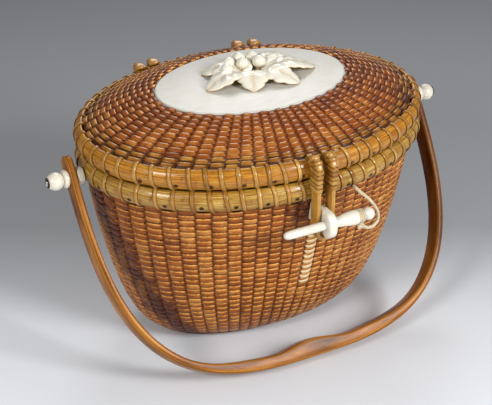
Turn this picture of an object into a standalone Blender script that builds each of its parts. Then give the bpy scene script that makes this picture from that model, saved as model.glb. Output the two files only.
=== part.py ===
"""An oval lidded basket purse: woven body and lid, rattan rims, swing handle and pegged clasp.

Metres, +Z up. The origin is the centre of the wooden base's underside. -Y is the clasp
side, +X the right-hand knob. The handle hangs forward and rests on the ground.
"""

from math import asin, ceil, cos, pi, radians, sin, sqrt

import bmesh
import bpy
from mathutils import Matrix, Vector

# Rims: the outer hoops' ovals and the height at which lid and body meet
RIM_LENGTH = 0.254
RIM_WIDTH = 0.189
SEAM_HEIGHT = 0.1465
HOOP_HEIGHT = 0.0147
LID_INNER_HOOP_HEIGHT = 0.0110
OUTER_HOOP_DEPTH = 0.0055
INNER_HOOP_DEPTH = 0.0035
CLEARANCE = 0.0003

# Weave: the staves stand between the two hoops
STAVE_COUNT = 56
WALL = 0.0024
WALL_SEAT = 0.0006

# Base board, let into the staves by a groove in its edge
BASE_LENGTH = 0.154
BASE_WIDTH = 0.082
BASE_THICKNESS = 0.010
GROOVE_HEIGHT = 0.003
GROOVE_DEPTH = 0.0045
FOOT_HEIGHT = 0.004

# Body outline between rim and base
BODY_LENGTH_POWER_SHARE = 1.19
BODY_LENGTH_ROOT_SHARE = 0.504
BODY_WIDTH_ROOT_SHARE = 0.461

# Lid board and plaque
LID_RISE = 0.0295
LID_DOME_POWER_SHARE = 1.2
PLAQUE_LENGTH = 0.140
PLAQUE_WIDTH = 0.096
PLAQUE_THICKNESS = 0.0036
PLAQUE_ROUND = 0.0010
LID_BOARD_INSET = 0.0012
LID_BOARD_THICKNESS = 0.008

# Room for the cane that lashes the hoops together
LASH_THICKNESS = 0.0005

# Handle: a bow of bent wood on two riveted knobs
HANDLE_TILT = radians(35.5)
PIVOT_DROP = 0.0098
HANDLE_STRIP_WIDTH = 0.015
HANDLE_THICKNESS = 0.005
HANDLE_BOW_EXTRA = 0.0035
HANDLE_GRIP_EXTRA = 0.004
HANDLE_GRIP_HALF = 0.032
HANDLE_END = 0.015
HANDLE_CHAMFER = 0.0014
HANDLE_SECTIONS = 40
BOW_FULL_SHARE = 0.33
BOW_FADE_SHARE = 0.72

# Knobs, washers and rivets on the handle's axis
WASHER_RADIUS = 0.0065
WASHER_THICKNESS = 0.0049
PIN_RADIUS = 0.0014
PIN_HEAD_RADIUS = 0.0024
PIN_HEAD_HEIGHT = 0.0011
PIN_HEAD_TOP_SHARE = 0.7
PIN_HEAD_EDGE_SHARE = 0.4
KNOB_RADIUS = 0.0062
KNOB_COLLAR_RADIUS = 0.0064
KNOB_COLLAR_HEIGHT = 0.0032
KNOB_COLLAR_SHARES = [(0.8, 1.0), (1.0, 0.35), (0.9, 0.0)]
KNOB_NECK_RADIUS = 0.0036
KNOB_CENTRE_HEIGHT = 0.0086
KNOB_FLAT_RADIUS = 0.0036
RIVET_DISC_HEIGHT = 0.0005
TURNED_STEPS = 16

# Hasp: a hairpin of rattan bound to the lid's rim
HASP_CENTRE = 0.001
HASP_INNER_WIDTH = 0.0076
HASP_THICKNESS = 0.0032
HASP_DEPTH = 0.009
HASP_HOOK_THICKNESS = 0.0016
HASP_HOOK_REACH = 0.0035
HASP_HOOK_RADIUS = 0.0036
HASP_BEND_DROP = 0.0345

# Staple and peg
STAPLE_THICKNESS = 0.0062
STAPLE_NOSE_REACH = 0.0068
STAPLE_TOP_DROP = 0.0180
STAPLE_ROOT_HEIGHT = 0.0150
STAPLE_NOSE_HEIGHT = 0.0185
PEG_DROP = 0.0265
PEG_RADIUS = 0.0030
PEG_TIP_REACH = 0.0336
PEG_FOOT_RADIUS = 0.0036
PEG_BODY_RADIUS = 0.0051
PEG_BODY_SHARES = [(0.84, 0.0), (0.98, 0.12), (1.0, 0.21), (0.90, 0.48), (0.76, 0.68)]
PEG_FOOT_SHARE = 0.77
PEG_NECK_REACH = 0.0233
PEG_NECK_RADIUS = 0.0029
PEG_COLLAR_RADIUS = 0.0036
PEG_COLLAR_WIDTH = 0.0008
PEG_BALL_REACH = 0.0300
PEG_BALL_RADIUS = 0.0044
PEG_TIP_SHARES = [(1.0, 0.80), (0.9, 0.94), (0.6, 0.985), (0.0, 1.0)]

# Cord that keeps the peg; its route's points are (x, y, drop below the seam)
CORD_DIAMETER = 0.0024
CORD_STEP_SHARE = 2.2
CORD_NAIL_X = 0.0275
CORD_NAIL_HEIGHT = 0.0006
CORD_ROUTE = [
    (0.0278, -0.0934, 0.0123),
    (0.0283, -0.0958, 0.0126),
    (0.0309, -0.0985, 0.0155),
    (0.0350, -0.1010, 0.0195),
    (0.0384, -0.1035, 0.0244),
    (0.0403, -0.1055, 0.0294),
    (0.0395, -0.1072, 0.0335),
    (0.0363, -0.1086, 0.0361),
    (0.0325, -0.1092, 0.0370),
    (0.0293, -0.1091, 0.0362),
    (0.0265, -0.1088, 0.0343),
]
KNOT_RADIUS = 0.0022

# Hinges: two pairs of lid straps on a rod held by one ear of the body
HINGE_SPREAD = 0.082
HINGE_AXIS_BEHIND = 0.0015
HINGE_STRAP_OFFSET = 0.006
HINGE_STRAP_WIDTH = 0.0042
HINGE_EAR_WIDTH = 0.005
HINGE_EYE_RADIUS = 0.0032
HINGE_ROD_RADIUS = 0.0013
HINGE_ROD_HEAD_RADIUS = 0.0021
HINGE_ROD_HEAD_HEIGHT = 0.0009
HINGE_STRAP_DEPTH = 0.0042
HINGE_HOOK_RISE = 0.0020
HINGE_HOOK_REACH = 0.0080
HINGE_EAR_DROP = 0.0140

# Carved sprig on the plaque; each leaf has a heading in degrees and a share of the length
SPRIG_X = 0.005
SPRIG_Y = 0.006
LEAF_LENGTH = 0.040
LEAF_WIDTH = 0.0145
LEAF_HEIGHT = 0.0052
LEAF_PLAN_SHARES = [(6, 1.0), (172, 1.0), (52, 0.6), (121, 0.66), (228, 0.66), (302, 0.6)]
LEAF_FORM_SHARES = [(0.0, 0.3, 0.4), (0.2, 0.8, 0.75), (0.45, 1.0, 1.0), (0.7, 0.75, 0.9),
                    (0.9, 0.35, 0.6), (1.0, 0.1, 0.35)]
LEAF_EDGE_SHARE = 0.45
BERRY_RADIUS = 0.0043
BERRY_COUNT = 6
SPRIG_HEART_LENGTH = 0.032
SPRIG_HEART_WIDTH = 0.023
SPRIG_HEART_HEIGHT = 0.0024
SPRIG_TOP_SHARE = 0.8

RIM_HALF_LENGTH = RIM_LENGTH / 2
RIM_HALF_WIDTH = RIM_WIDTH / 2
LASH_PROUD = LASH_THICKNESS
SEAM_GAP = 2 * LASH_PROUD + CLEARANCE
WALL_INSET = OUTER_HOOP_DEPTH + WALL_SEAT
INNER_HOOP_INSET = WALL_INSET + WALL + WALL_SEAT
BODY_RIM_TOP = SEAM_HEIGHT - SEAM_GAP / 2
LID_RIM_FOOT = SEAM_HEIGHT + SEAM_GAP / 2
BODY_RIM_FOOT = BODY_RIM_TOP - HOOP_HEIGHT
LID_RIM_TOP = LID_RIM_FOOT + HOOP_HEIGHT
PIVOT_HEIGHT = SEAM_HEIGHT - PIVOT_DROP
WASHER_SEAT = RIM_HALF_LENGTH + LASH_PROUD + CLEARANCE
HANDLE_SPAN = 2 * (WASHER_SEAT + WASHER_THICKNESS + CLEARANCE + HANDLE_THICKNESS)
PLAQUE_TOP = SEAM_HEIGHT + LID_RISE + PLAQUE_THICKNESS
HASP_BACK = -(RIM_HALF_WIDTH + LASH_PROUD + CLEARANCE)
HASP_FRONT = HASP_BACK - HASP_DEPTH
PEG_LINE = HASP_FRONT - PEG_FOOT_RADIUS - CLEARANCE
HINGE_LINE = RIM_HALF_WIDTH + HINGE_AXIS_BEHIND

CANE = (0.55, 0.26, 0.08)
LID_CANE = (0.44, 0.18, 0.06)
RATTAN = (0.62, 0.37, 0.10)
WOOD = (0.36, 0.16, 0.05)
IVORY = (0.86, 0.82, 0.70)
BRASS = (0.25, 0.20, 0.12)
SILVER = (0.70, 0.70, 0.70)
COTTON = (0.80, 0.74, 0.58)


def clear_scene():
    for thing in list(bpy.data.objects):
        bpy.data.objects.remove(thing, do_unlink=True)


def new_collection(name):
    collection = bpy.data.collections.new(name)
    bpy.context.scene.collection.children.link(collection)
    return collection


def plain_material(name, colour, roughness, metallic=0.0):
    material = bpy.data.materials.new(name)
    material.use_nodes = True
    shader = material.node_tree.nodes["Principled BSDF"]
    shader.inputs["Base Color"].default_value = (*colour, 1.0)
    shader.inputs["Roughness"].default_value = roughness
    shader.inputs["Metallic"].default_value = metallic
    return material


def place(name, mesh, colour, roughness, metallic=0.0, carrier=None, sharp=40):
    """Put a mesh in the parts collection as a named object with its own material."""
    mesh.materials.append(plain_material(name, colour, roughness, metallic))
    mesh.shade_smooth()
    mesh.set_sharp_from_angle(angle=radians(sharp))
    part = bpy.data.objects.new(name, mesh)
    PARTS.objects.link(part)
    if carrier is not None:
        part.parent = carrier
        part.matrix_parent_inverse = carrier.matrix_world.inverted()
    return part


def axis_empty(name, location, turn=0.0):
    empty = bpy.data.objects.new(name, None)
    empty.location = location
    empty.rotation_euler.x = turn
    empty.empty_display_size = KNOB_RADIUS
    PARTS.objects.link(empty)
    bpy.context.view_layer.update()
    return empty


# Ovals

def oval(half_length, half_width, angle, height=0.0):
    return Vector((half_length * cos(angle), half_width * sin(angle), height))


def even_angles(count, start_share=0.0):
    """Angles that cut the rim's oval into equal arcs, starting at +X."""
    fine = 720
    lengths = [0.0]
    for k in range(fine):
        here = oval(RIM_HALF_LENGTH, RIM_HALF_WIDTH, 2 * pi * k / fine)
        there = oval(RIM_HALF_LENGTH, RIM_HALF_WIDTH, 2 * pi * (k + 1) / fine)
        lengths.append(lengths[-1] + (there - here).length)
    angles = []
    spot = 0
    for k in range(count):
        target = lengths[-1] * (k + start_share) / count
        while lengths[spot + 1] < target:
            spot += 1
        part = (target - lengths[spot]) / (lengths[spot + 1] - lengths[spot])
        angles.append(2 * pi * (spot + part) / fine)
    return angles


def rim_reach(x):
    """Distance of the outer hoop's face from the long axis, at a place along it."""
    return RIM_HALF_WIDTH * sqrt(1 - (x / RIM_HALF_LENGTH) ** 2)


def oval_skin(name, profile, angles, looped=False, capped=False):
    """Loft between ovals; the profile gives (half length, half width, height) per ring."""
    shape = bmesh.new()
    rings = [[shape.verts.new(oval(a, b, t, z)) for t in angles] for a, b, z in profile]
    pairs = list(zip(rings, rings[1:]))
    if looped:
        pairs.append((rings[-1], rings[0]))
    for first, second in pairs:
        for k in range(len(angles)):
            j = (k + 1) % len(angles)
            shape.faces.new((first[k], first[j], second[j], second[k]))
    if capped:
        shape.faces.new(rings[0][::-1])
        shape.faces.new(rings[-1])
    if capped or looped:
        bmesh.ops.recalc_face_normals(shape, faces=shape.faces)
    mesh = bpy.data.meshes.new(name)
    shape.to_mesh(mesh)
    shape.free()
    return mesh


def section_skin(shape, sections):
    """Loft a closed bar through sections that have the same number of points."""
    rings = [[shape.verts.new(point) for point in section] for section in sections]
    count = len(rings[0])
    faces = []
    for first, second in zip(rings, rings[1:]):
        for k in range(count):
            j = (k + 1) % count
            faces.append(shape.faces.new((first[k], first[j], second[j], second[k])))
    faces.append(shape.faces.new(rings[0][::-1]))
    faces.append(shape.faces.new(rings[-1]))
    bmesh.ops.recalc_face_normals(shape, faces=faces)


def mesh_from(name, shape):
    mesh = bpy.data.meshes.new(name)
    shape.to_mesh(mesh)
    shape.free()
    return mesh


def turned(name, outline, looped=False):
    """Mesh of (radius, height) points joined by edges, spun by a Screw modifier."""
    mesh = bpy.data.meshes.new(name)
    points = [(radius, 0.0, height) for radius, height in outline]
    edges = [(k, k + 1) for k in range(len(points) - 1)]
    if looped:
        edges.append((len(points) - 1, 0))
    mesh.from_pydata(points, edges, [])
    return mesh


def spin(part, steps=TURNED_STEPS):
    screw = part.modifiers.new("Turn", "SCREW")
    screw.steps = steps
    screw.render_steps = steps
    screw.use_merge_vertices = True
    screw.merge_threshold = CLEARANCE / 10
    screw.use_smooth_shade = True
    return part


def arc(radius, centre, start, end, steps):
    """Points (radius, height) of a circle round a centre on the axis, by angle from +Z."""
    turns = [start + (end - start) * k / steps for k in range(steps + 1)]
    return [(radius * sin(turn), centre + radius * cos(turn)) for turn in turns]


def cutter_rod(name, radius, length, centre):
    """Rod along X that bores other pieces."""
    shape = bmesh.new()
    bmesh.ops.create_cone(shape, cap_ends=True, segments=TURNED_STEPS, radius1=radius,
                          radius2=radius, depth=length,
                          matrix=Matrix.Translation(centre) @ Matrix.Rotation(pi / 2, 4, "Y"))
    rod = bpy.data.objects.new(name, mesh_from(name, shape))
    rod.hide_render = True
    rod.display_type = "WIRE"
    CUTTERS.objects.link(rod)
    return rod


def bore(part, rod):
    cut = part.modifiers.new("Bore", "BOOLEAN")
    cut.operation = "DIFFERENCE"
    cut.solver = "EXACT"
    cut.object = rod


def plate(shape, outline, left, right):
    """Flat plate across X: the outline holds (y, z) points."""
    section_skin(shape, [[Vector((x, y, z)) for y, z in outline] for x in (left, right)])


# Base board and woven walls

def grooved_profile(half_length, half_width, foot, groove, depth, thickness):
    """Edge of a board from its underside up, with a groove all round."""
    steps = [
        (0.0, 0.0),
        (0.0, foot),
        (depth, foot),
        (depth, foot + groove),
        (depth / 3, foot + groove),
        (depth / 3, thickness),
    ]
    return [(half_length - inset, half_width - inset, height) for inset, height in steps]


def base_board():
    profile = grooved_profile(BASE_LENGTH / 2, BASE_WIDTH / 2, FOOT_HEIGHT, GROOVE_HEIGHT,
                              GROOVE_DEPTH, BASE_THICKNESS)
    mesh = oval_skin("base_board", profile, even_angles(STAVE_COUNT, 0.5), capped=True)
    place("base_board", mesh, WOOD, 0.5)


def body_profile(rings=7):
    """Outer ovals of the woven body from the lip in the groove up to the rim."""
    lip = FOOT_HEIGHT + CLEARANCE
    tuck = GROOVE_DEPTH - CLEARANCE
    foot_length = BASE_LENGTH / 2
    foot_width = BASE_WIDTH / 2
    top_length = RIM_HALF_LENGTH - WALL_INSET
    top_width = RIM_HALF_WIDTH - WALL_INSET
    profile = [(foot_length - tuck, foot_width - tuck, lip)]
    for k in range(rings):
        depth = 1 - (k / rings) ** 2
        a = foot_length + (top_length - foot_length) * (
            1 - depth ** BODY_LENGTH_POWER_SHARE) ** BODY_LENGTH_ROOT_SHARE
        b = foot_width + (top_width - foot_width) * (1 - depth) ** BODY_WIDTH_ROOT_SHARE
        profile.append((a, b, BODY_RIM_FOOT - depth * (BODY_RIM_FOOT - lip)))
    profile.append((top_length, top_width, BODY_RIM_FOOT))
    profile.append((top_length, top_width, BODY_RIM_TOP))
    return profile


def woven_wall(name, profile, colour, carrier=None):
    """One facet for each stave, as thick as stave and weaver together."""
    mesh = oval_skin(name, profile, even_angles(STAVE_COUNT, 0.5))
    wall = place(name, mesh, colour, 0.45, carrier=carrier)
    thickness = wall.modifiers.new("Thickness", "SOLIDIFY")
    thickness.thickness = WALL
    thickness.offset = -1.0
    return wall


def lid_profile(rings=3):
    """Outer ovals of the woven lid from its rim up to the lip in the lid board's groove."""
    rim_length = RIM_HALF_LENGTH - WALL_INSET
    rim_width = RIM_HALF_WIDTH - WALL_INSET
    board_length = PLAQUE_LENGTH / 2 - LID_BOARD_INSET
    board_width = PLAQUE_WIDTH / 2 - LID_BOARD_INSET
    tuck = GROOVE_DEPTH - CLEARANCE
    lip = lid_board_foot() + FOOT_HEIGHT + GROOVE_HEIGHT - CLEARANCE
    profile = [(rim_length, rim_width, LID_RIM_FOOT), (rim_length, rim_width, LID_RIM_TOP)]
    for k in range(1, rings + 1):
        share = k / rings
        a = rim_length + (board_length - rim_length) * share
        b = rim_width + (board_width - rim_width) * share
        rise = 1 - (1 - share) ** LID_DOME_POWER_SHARE
        profile.append((a, b, LID_RIM_TOP + (lip - LID_RIM_TOP) * rise))
    profile.append((board_length - tuck, board_width - tuck, lip))
    return profile


def lid_board_foot():
    return SEAM_HEIGHT + LID_RISE - CLEARANCE - LID_BOARD_THICKNESS


def lid_board(lid):
    """The board's groove takes the woven lid; its underside shows inside the lid."""
    profile = grooved_profile(PLAQUE_LENGTH / 2 - LID_BOARD_INSET,
                              PLAQUE_WIDTH / 2 - LID_BOARD_INSET, FOOT_HEIGHT, GROOVE_HEIGHT,
                              GROOVE_DEPTH, LID_BOARD_THICKNESS)
    inner = GROOVE_DEPTH * 2 / 3
    profile[0] = (profile[0][0] - inner, profile[0][1] - inner, profile[0][2])
    profile[1] = (profile[1][0] - inner, profile[1][1] - inner, profile[1][2])
    raised = [(a, b, z + lid_board_foot()) for a, b, z in profile]
    mesh = oval_skin("lid_board", raised, even_angles(STAVE_COUNT, 0.5), capped=True)
    place("lid_board", mesh, WOOD, 0.5, carrier=lid)


def plaque(lid):
    """Flat oval plaque with softened edges, laid on the lid board."""
    foot = SEAM_HEIGHT + LID_RISE
    rows = [(PLAQUE_ROUND, foot), (0.0, foot + PLAQUE_ROUND),
            (0.0, PLAQUE_TOP - PLAQUE_ROUND), (PLAQUE_ROUND, PLAQUE_TOP)]
    profile = [(PLAQUE_LENGTH / 2 - inset, PLAQUE_WIDTH / 2 - inset, z) for inset, z in rows]
    mesh = oval_skin("plaque", profile, even_angles(STAVE_COUNT, 0.5), capped=True)
    place("plaque", mesh, IVORY, 0.35, carrier=lid)


# Rims

OUTER_HOOP_SHARES = [(1.0, 0.0), (0.35, 0.0), (0.07, 0.22), (0.0, 0.5), (0.07, 0.78),
                     (0.35, 1.0), (1.0, 1.0)]
INNER_HOOP_SHARES = [(0.0, 0.0), (0.0, 1.0), (0.75, 1.0), (1.0, 0.5), (0.75, 0.0)]


def hoop(name, shares, inset, depth, foot, height, carrier=None):
    """Half-round rattan hoop; the shares shape its section across and up."""
    profile = []
    for across, up in shares:
        reach = inset + depth * across
        profile.append((RIM_HALF_LENGTH - reach, RIM_HALF_WIDTH - reach, foot + height * up))
    mesh = oval_skin(name, profile, even_angles(STAVE_COUNT, 0.5), looped=True)
    return place(name, mesh, RATTAN, 0.3, carrier=carrier)


# Handle, knobs and rivets

def handle_reach():
    """Length of the bow below its axis that lets it rest on the ground."""
    corner = HANDLE_STRIP_WIDTH / 2 * sin(HANDLE_TILT)
    return (PIVOT_HEIGHT - CLEARANCE - corner) / cos(HANDLE_TILT)


def bow_line():
    """Outer line of the hanging bow: evenly spaced (x, drop) points of a superellipse."""
    fine = 600
    power = 2 / 3
    dense = []
    for k in range(fine + 1):
        angle = pi * k / fine
        side = -1.0 if angle > pi / 2 else 1.0
        x = side * HANDLE_SPAN / 2 * abs(cos(angle)) ** power
        dense.append(Vector((x, handle_reach() * sin(angle) ** power)))
    lengths = [0.0]
    for here, there in zip(dense, dense[1:]):
        lengths.append(lengths[-1] + (there - here).length)
    points = []
    spot = 0
    for k in range(HANDLE_SECTIONS + 1):
        target = lengths[-1] * k / HANDLE_SECTIONS
        while spot < fine - 1 and lengths[spot + 1] < target:
            spot += 1
        part = (target - lengths[spot]) / (lengths[spot + 1] - lengths[spot])
        points.append(dense[spot].lerp(dense[spot + 1], min(part, 1.0)))
    return points


def bow_thickness(x):
    """Thin legs, a stouter bow, and a swelling for the fingers in its middle."""
    half = HANDLE_SPAN / 2
    fade = (abs(x) / half - BOW_FULL_SHARE) / (BOW_FADE_SHARE - BOW_FULL_SHARE)
    fade = min(max(fade, 0.0), 1.0)
    thickness = HANDLE_THICKNESS + HANDLE_BOW_EXTRA * (1 - fade * fade * (3 - 2 * fade))
    if abs(x) < HANDLE_GRIP_HALF:
        thickness += HANDLE_GRIP_EXTRA * cos(pi / 2 * x / HANDLE_GRIP_HALF) ** 2
    return thickness


def strip_section(outer, inward, thickness, half_width):
    """Chamfered strip section: outer face point, inward direction in the bow's plane."""
    chamfer = min(HANDLE_CHAMFER, thickness / 3, half_width / 3)
    corners = []
    rows = [(0.0, half_width - chamfer), (chamfer, half_width),
            (thickness - chamfer, half_width), (thickness, half_width - chamfer)]
    for depth, across in rows:
        corners.append((depth, across))
    for depth, across in reversed(rows):
        corners.append((depth, -across))
    return [Vector((outer.x + inward.x * depth, -across, -(outer.y + inward.y * depth)))
            for depth, across in corners]


def handle_bar(pivot):
    """The bow is lofted in its own plane, hanging down from the axis, and then tilted."""
    line = bow_line()
    half = HANDLE_STRIP_WIDTH / 2
    sections = []
    for turn in (80, 55, 30, 0):
        across = half * cos(radians(turn))
        top = -(HANDLE_END - half) - half * sin(radians(turn))
        outer = Vector((HANDLE_SPAN / 2, top))
        sections.append(strip_section(outer, Vector((-1.0, 0.0)), HANDLE_THICKNESS, across))
    for k, point in enumerate(line):
        before = line[max(k - 1, 0)]
        after = line[min(k + 1, len(line) - 1)]
        along = (after - before).normalized()
        if k in (0, len(line) - 1):
            inward = Vector((-1.0 if k == 0 else 1.0, 0.0))
        else:
            inward = Vector((-along.y, along.x))
        sections.append(strip_section(point, inward, bow_thickness(point.x), half))
    for turn in (0, 30, 55, 80):
        across = half * cos(radians(turn))
        top = -(HANDLE_END - half) - half * sin(radians(turn))
        outer = Vector((-HANDLE_SPAN / 2, top))
        sections.append(strip_section(outer, Vector((1.0, 0.0)), HANDLE_THICKNESS, across))
    shape = bmesh.new()
    section_skin(shape, sections)
    handle = place("handle", mesh_from("handle", shape), WOOD, 0.3)
    handle.parent = pivot
    bore(handle, cutter_rod("pin_bore_handle", PIN_RADIUS + CLEARANCE,
                            RIM_LENGTH * 2, (0.0, 0.0, PIVOT_HEIGHT)))


def along_axis(part, side):
    """Turn a piece made along +Z so that it points out of one end of the basket."""
    part.rotation_euler.y = side * pi / 2
    part.location.z = PIVOT_HEIGHT
    return part


def knob_set(label, side):
    """Washer, turned knob, dark disc and long rivet at one end of the basket."""
    hole = PIN_RADIUS + CLEARANCE
    outer_face = HANDLE_SPAN / 2
    washer_top = WASHER_SEAT + WASHER_THICKNESS
    washer = [(WASHER_RADIUS, washer_top), (WASHER_RADIUS, WASHER_SEAT), (hole, WASHER_SEAT),
              (hole, washer_top)]
    name = "knob_washer_" + label
    along_axis(spin(place(name, turned(name, washer, looped=True), IVORY, 0.35)), side)

    seat = outer_face + CLEARANCE
    centre = seat + KNOB_CENTRE_HEIGHT
    ball = arc(KNOB_RADIUS, centre, asin(KNOB_FLAT_RADIUS / KNOB_RADIUS),
               pi - asin(KNOB_NECK_RADIUS / KNOB_RADIUS), 8)
    collar = [(KNOB_COLLAR_RADIUS * wide, seat + KNOB_COLLAR_HEIGHT * high)
              for wide, high in KNOB_COLLAR_SHARES]
    knob = [(hole, ball[0][1])] + ball + collar + [(hole, seat)]
    name = "knob_" + label
    along_axis(spin(place(name, turned(name, knob, looped=True), IVORY, 0.3)), side)

    disc_foot = ball[0][1] + CLEARANCE
    disc_top = disc_foot + RIVET_DISC_HEIGHT
    disc = [(KNOB_FLAT_RADIUS, disc_top), (KNOB_FLAT_RADIUS, disc_foot),
            (hole, disc_foot), (hole, disc_top)]
    name = "rivet_disc_" + label
    along_axis(spin(place(name, turned(name, disc, looped=True), BRASS, 0.5, 0.8)), side)

    head = disc_top + CLEARANCE
    inside = RIM_HALF_LENGTH - INNER_HOOP_INSET - INNER_HOOP_DEPTH - CLEARANCE
    head_top = head + PIN_HEAD_HEIGHT
    inside_top = inside - PIN_HEAD_HEIGHT
    crown = PIN_HEAD_RADIUS * PIN_HEAD_TOP_SHARE
    pin = [(0.0, head_top), (crown, head_top),
           (PIN_HEAD_RADIUS, head + PIN_HEAD_HEIGHT * PIN_HEAD_EDGE_SHARE),
           (PIN_HEAD_RADIUS, head), (PIN_RADIUS, head), (PIN_RADIUS, inside),
           (PIN_HEAD_RADIUS, inside), (crown, inside_top), (0.0, inside_top)]
    name = "handle_pin_" + label
    along_axis(spin(place(name, turned(name, pin), SILVER, 0.25, 1.0)), side)


# Clasp

def hasp_leg_sections(outer_x, inner_x):
    """Sections of one leg from the end of its hook over the lid's rim down to the bend."""
    hook_foot = LID_RIM_TOP + LASH_PROUD + CLEARANCE
    corner_y = HASP_BACK + HASP_HOOK_RADIUS
    corner_z = hook_foot - HASP_HOOK_RADIUS
    sections = []

    def add(y, z, out_y, out_z, depth):
        low = Vector((0.0, y, z))
        high = Vector((0.0, y + out_y * depth, z + out_z * depth))
        sections.append([Vector((outer_x, low.y, low.z)), Vector((inner_x, low.y, low.z)),
                         Vector((inner_x, high.y, high.z)), Vector((outer_x, high.y, high.z))])

    add(corner_y + HASP_HOOK_REACH, hook_foot, 0.0, 1.0, HASP_HOOK_THICKNESS)
    for step in range(5):
        turn = pi / 2 * (1 - step / 4)
        depth = HASP_DEPTH + (HASP_HOOK_THICKNESS - HASP_DEPTH) * turn / (pi / 2)
        add(corner_y - HASP_HOOK_RADIUS * cos(turn), corner_z + HASP_HOOK_RADIUS * sin(turn),
            -cos(turn), sin(turn), depth)
    return sections


def hasp(lid):
    """Hairpin: two hooked legs and a half-round bend under the staple."""
    inner = HASP_INNER_WIDTH / 2
    outer = inner + HASP_THICKNESS
    left = hasp_leg_sections(HASP_CENTRE - outer, HASP_CENTRE - inner)
    right = hasp_leg_sections(HASP_CENTRE + outer, HASP_CENTRE + inner)
    bend = SEAM_HEIGHT - HASP_BEND_DROP
    turns = []
    for step in range(9):
        angle = pi * step / 8
        points = [(outer, HASP_BACK), (inner, HASP_BACK), (inner, HASP_FRONT), (outer, HASP_FRONT)]
        turns.append([Vector((HASP_CENTRE - r * cos(angle), y, bend - r * sin(angle)))
                      for r, y in points])
    shape = bmesh.new()
    section_skin(shape, left + turns + right[::-1])
    place("hasp", mesh_from("hasp", shape), RATTAN, 0.35, carrier=lid)


def staple():
    """Ear-shaped plate standing out through the hasp, with the peg's hole near its nose."""
    top = SEAM_HEIGHT - STAPLE_TOP_DROP
    nose = STAPLE_NOSE_HEIGHT / 2
    outline = []
    for step in range(5):
        height = top - STAPLE_ROOT_HEIGHT * (1 - step / 4)
        outline.append((-wall_reach(HASP_CENTRE, height) - CLEARANCE, height))
    for step in range(9):
        angle = pi / 2 - pi * step / 8
        outline.append((PEG_LINE - STAPLE_NOSE_REACH * cos(angle), top - nose + nose * sin(angle)))
    outline.append((PEG_LINE + STAPLE_NOSE_REACH, top - STAPLE_ROOT_HEIGHT))
    shape = bmesh.new()
    plate(shape, outline, HASP_CENTRE - STAPLE_THICKNESS / 2, HASP_CENTRE + STAPLE_THICKNESS / 2)
    part = place("staple", mesh_from("staple", shape), IVORY, 0.35)
    hole = (HASP_CENTRE, PEG_LINE, SEAM_HEIGHT - PEG_DROP)
    bore(part, cutter_rod("peg_bore", PEG_RADIUS + CLEARANCE, 2 * STAPLE_THICKNESS, hole))


def wall_reach(x, z):
    """Distance of the body's outer face from the long axis at a height."""
    profile = body_profile()
    for (a0, b0, z0), (a1, b1, z1) in zip(profile, profile[1:]):
        if z0 <= z <= z1:
            share = (z - z0) / (z1 - z0)
            a = a0 + (a1 - a0) * share
            b = b0 + (b1 - b0) * share
            return b * sqrt(1 - (x / a) ** 2)
    return RIM_HALF_WIDTH


def peg(slide):
    """Turned peg: ball, collar, corded neck, swelling body, slim foot and a long shaft."""
    shoulder = STAPLE_THICKNESS / 2 + CLEARANCE
    neck_half = CORD_DIAMETER / 2 + CLEARANCE
    ball = arc(PEG_BALL_RADIUS, PEG_BALL_REACH, 0.0,
               pi - asin(PEG_NECK_RADIUS / PEG_BALL_RADIUS), 7)
    collar_foot = PEG_NECK_REACH + neck_half
    collar_top = collar_foot + PEG_COLLAR_WIDTH
    collar = [(PEG_NECK_RADIUS, collar_top), (PEG_COLLAR_RADIUS, collar_top),
              (PEG_COLLAR_RADIUS, collar_foot), (PEG_NECK_RADIUS, collar_foot)]
    top = PEG_NECK_REACH - neck_half
    length = top - shoulder
    body = [(PEG_NECK_RADIUS, top)]
    body += [(PEG_BODY_RADIUS * wide, top - length * down) for wide, down in PEG_BODY_SHARES]
    foot = [(PEG_FOOT_RADIUS, top - length * PEG_FOOT_SHARE), (PEG_FOOT_RADIUS, shoulder),
            (PEG_RADIUS, shoulder)]
    tip = [(PEG_RADIUS * wide, -PEG_TIP_REACH * down) for wide, down in PEG_TIP_SHARES]
    part = spin(place("peg", turned("peg", ball + collar + body + foot + tip), IVORY, 0.3))
    part.parent = slide
    part.rotation_euler.y = pi / 2


def cord_knot(slide):
    """Turn of cord round the peg's neck, with its knot under it."""
    ring = PEG_NECK_RADIUS + CLEARANCE + CORD_DIAMETER / 2
    centre = Vector((HASP_CENTRE + PEG_NECK_REACH, PEG_LINE, SEAM_HEIGHT - PEG_DROP))
    turn = Matrix.Translation(centre) @ Matrix.Rotation(pi / 2, 4, "Y")
    bpy.ops.mesh.primitive_torus_add(major_segments=16, minor_segments=8, major_radius=ring,
                                     minor_radius=CORD_DIAMETER / 2)
    torus = bpy.context.active_object
    mesh = torus.data
    mesh.transform(turn)
    bpy.data.objects.remove(torus, do_unlink=True)
    mesh.name = "cord_knot"
    knot = place("cord_knot", mesh, COTTON, 0.9, carrier=slide)
    shape = bmesh.new()
    below = centre + Vector((0.0, 0.0, -ring - KNOT_RADIUS))
    bmesh.ops.create_uvsphere(shape, u_segments=10, v_segments=7, radius=KNOT_RADIUS,
                              matrix=Matrix.Translation(below))
    lump = bpy.data.objects.new("knot_lump", mesh_from("knot_lump", shape))
    lump.hide_render = True
    lump.display_type = "WIRE"
    CUTTERS.objects.link(lump)
    joined = knot.modifiers.new("Lump", "BOOLEAN")
    joined.operation = "UNION"
    joined.solver = "EXACT"
    joined.object = lump


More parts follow.
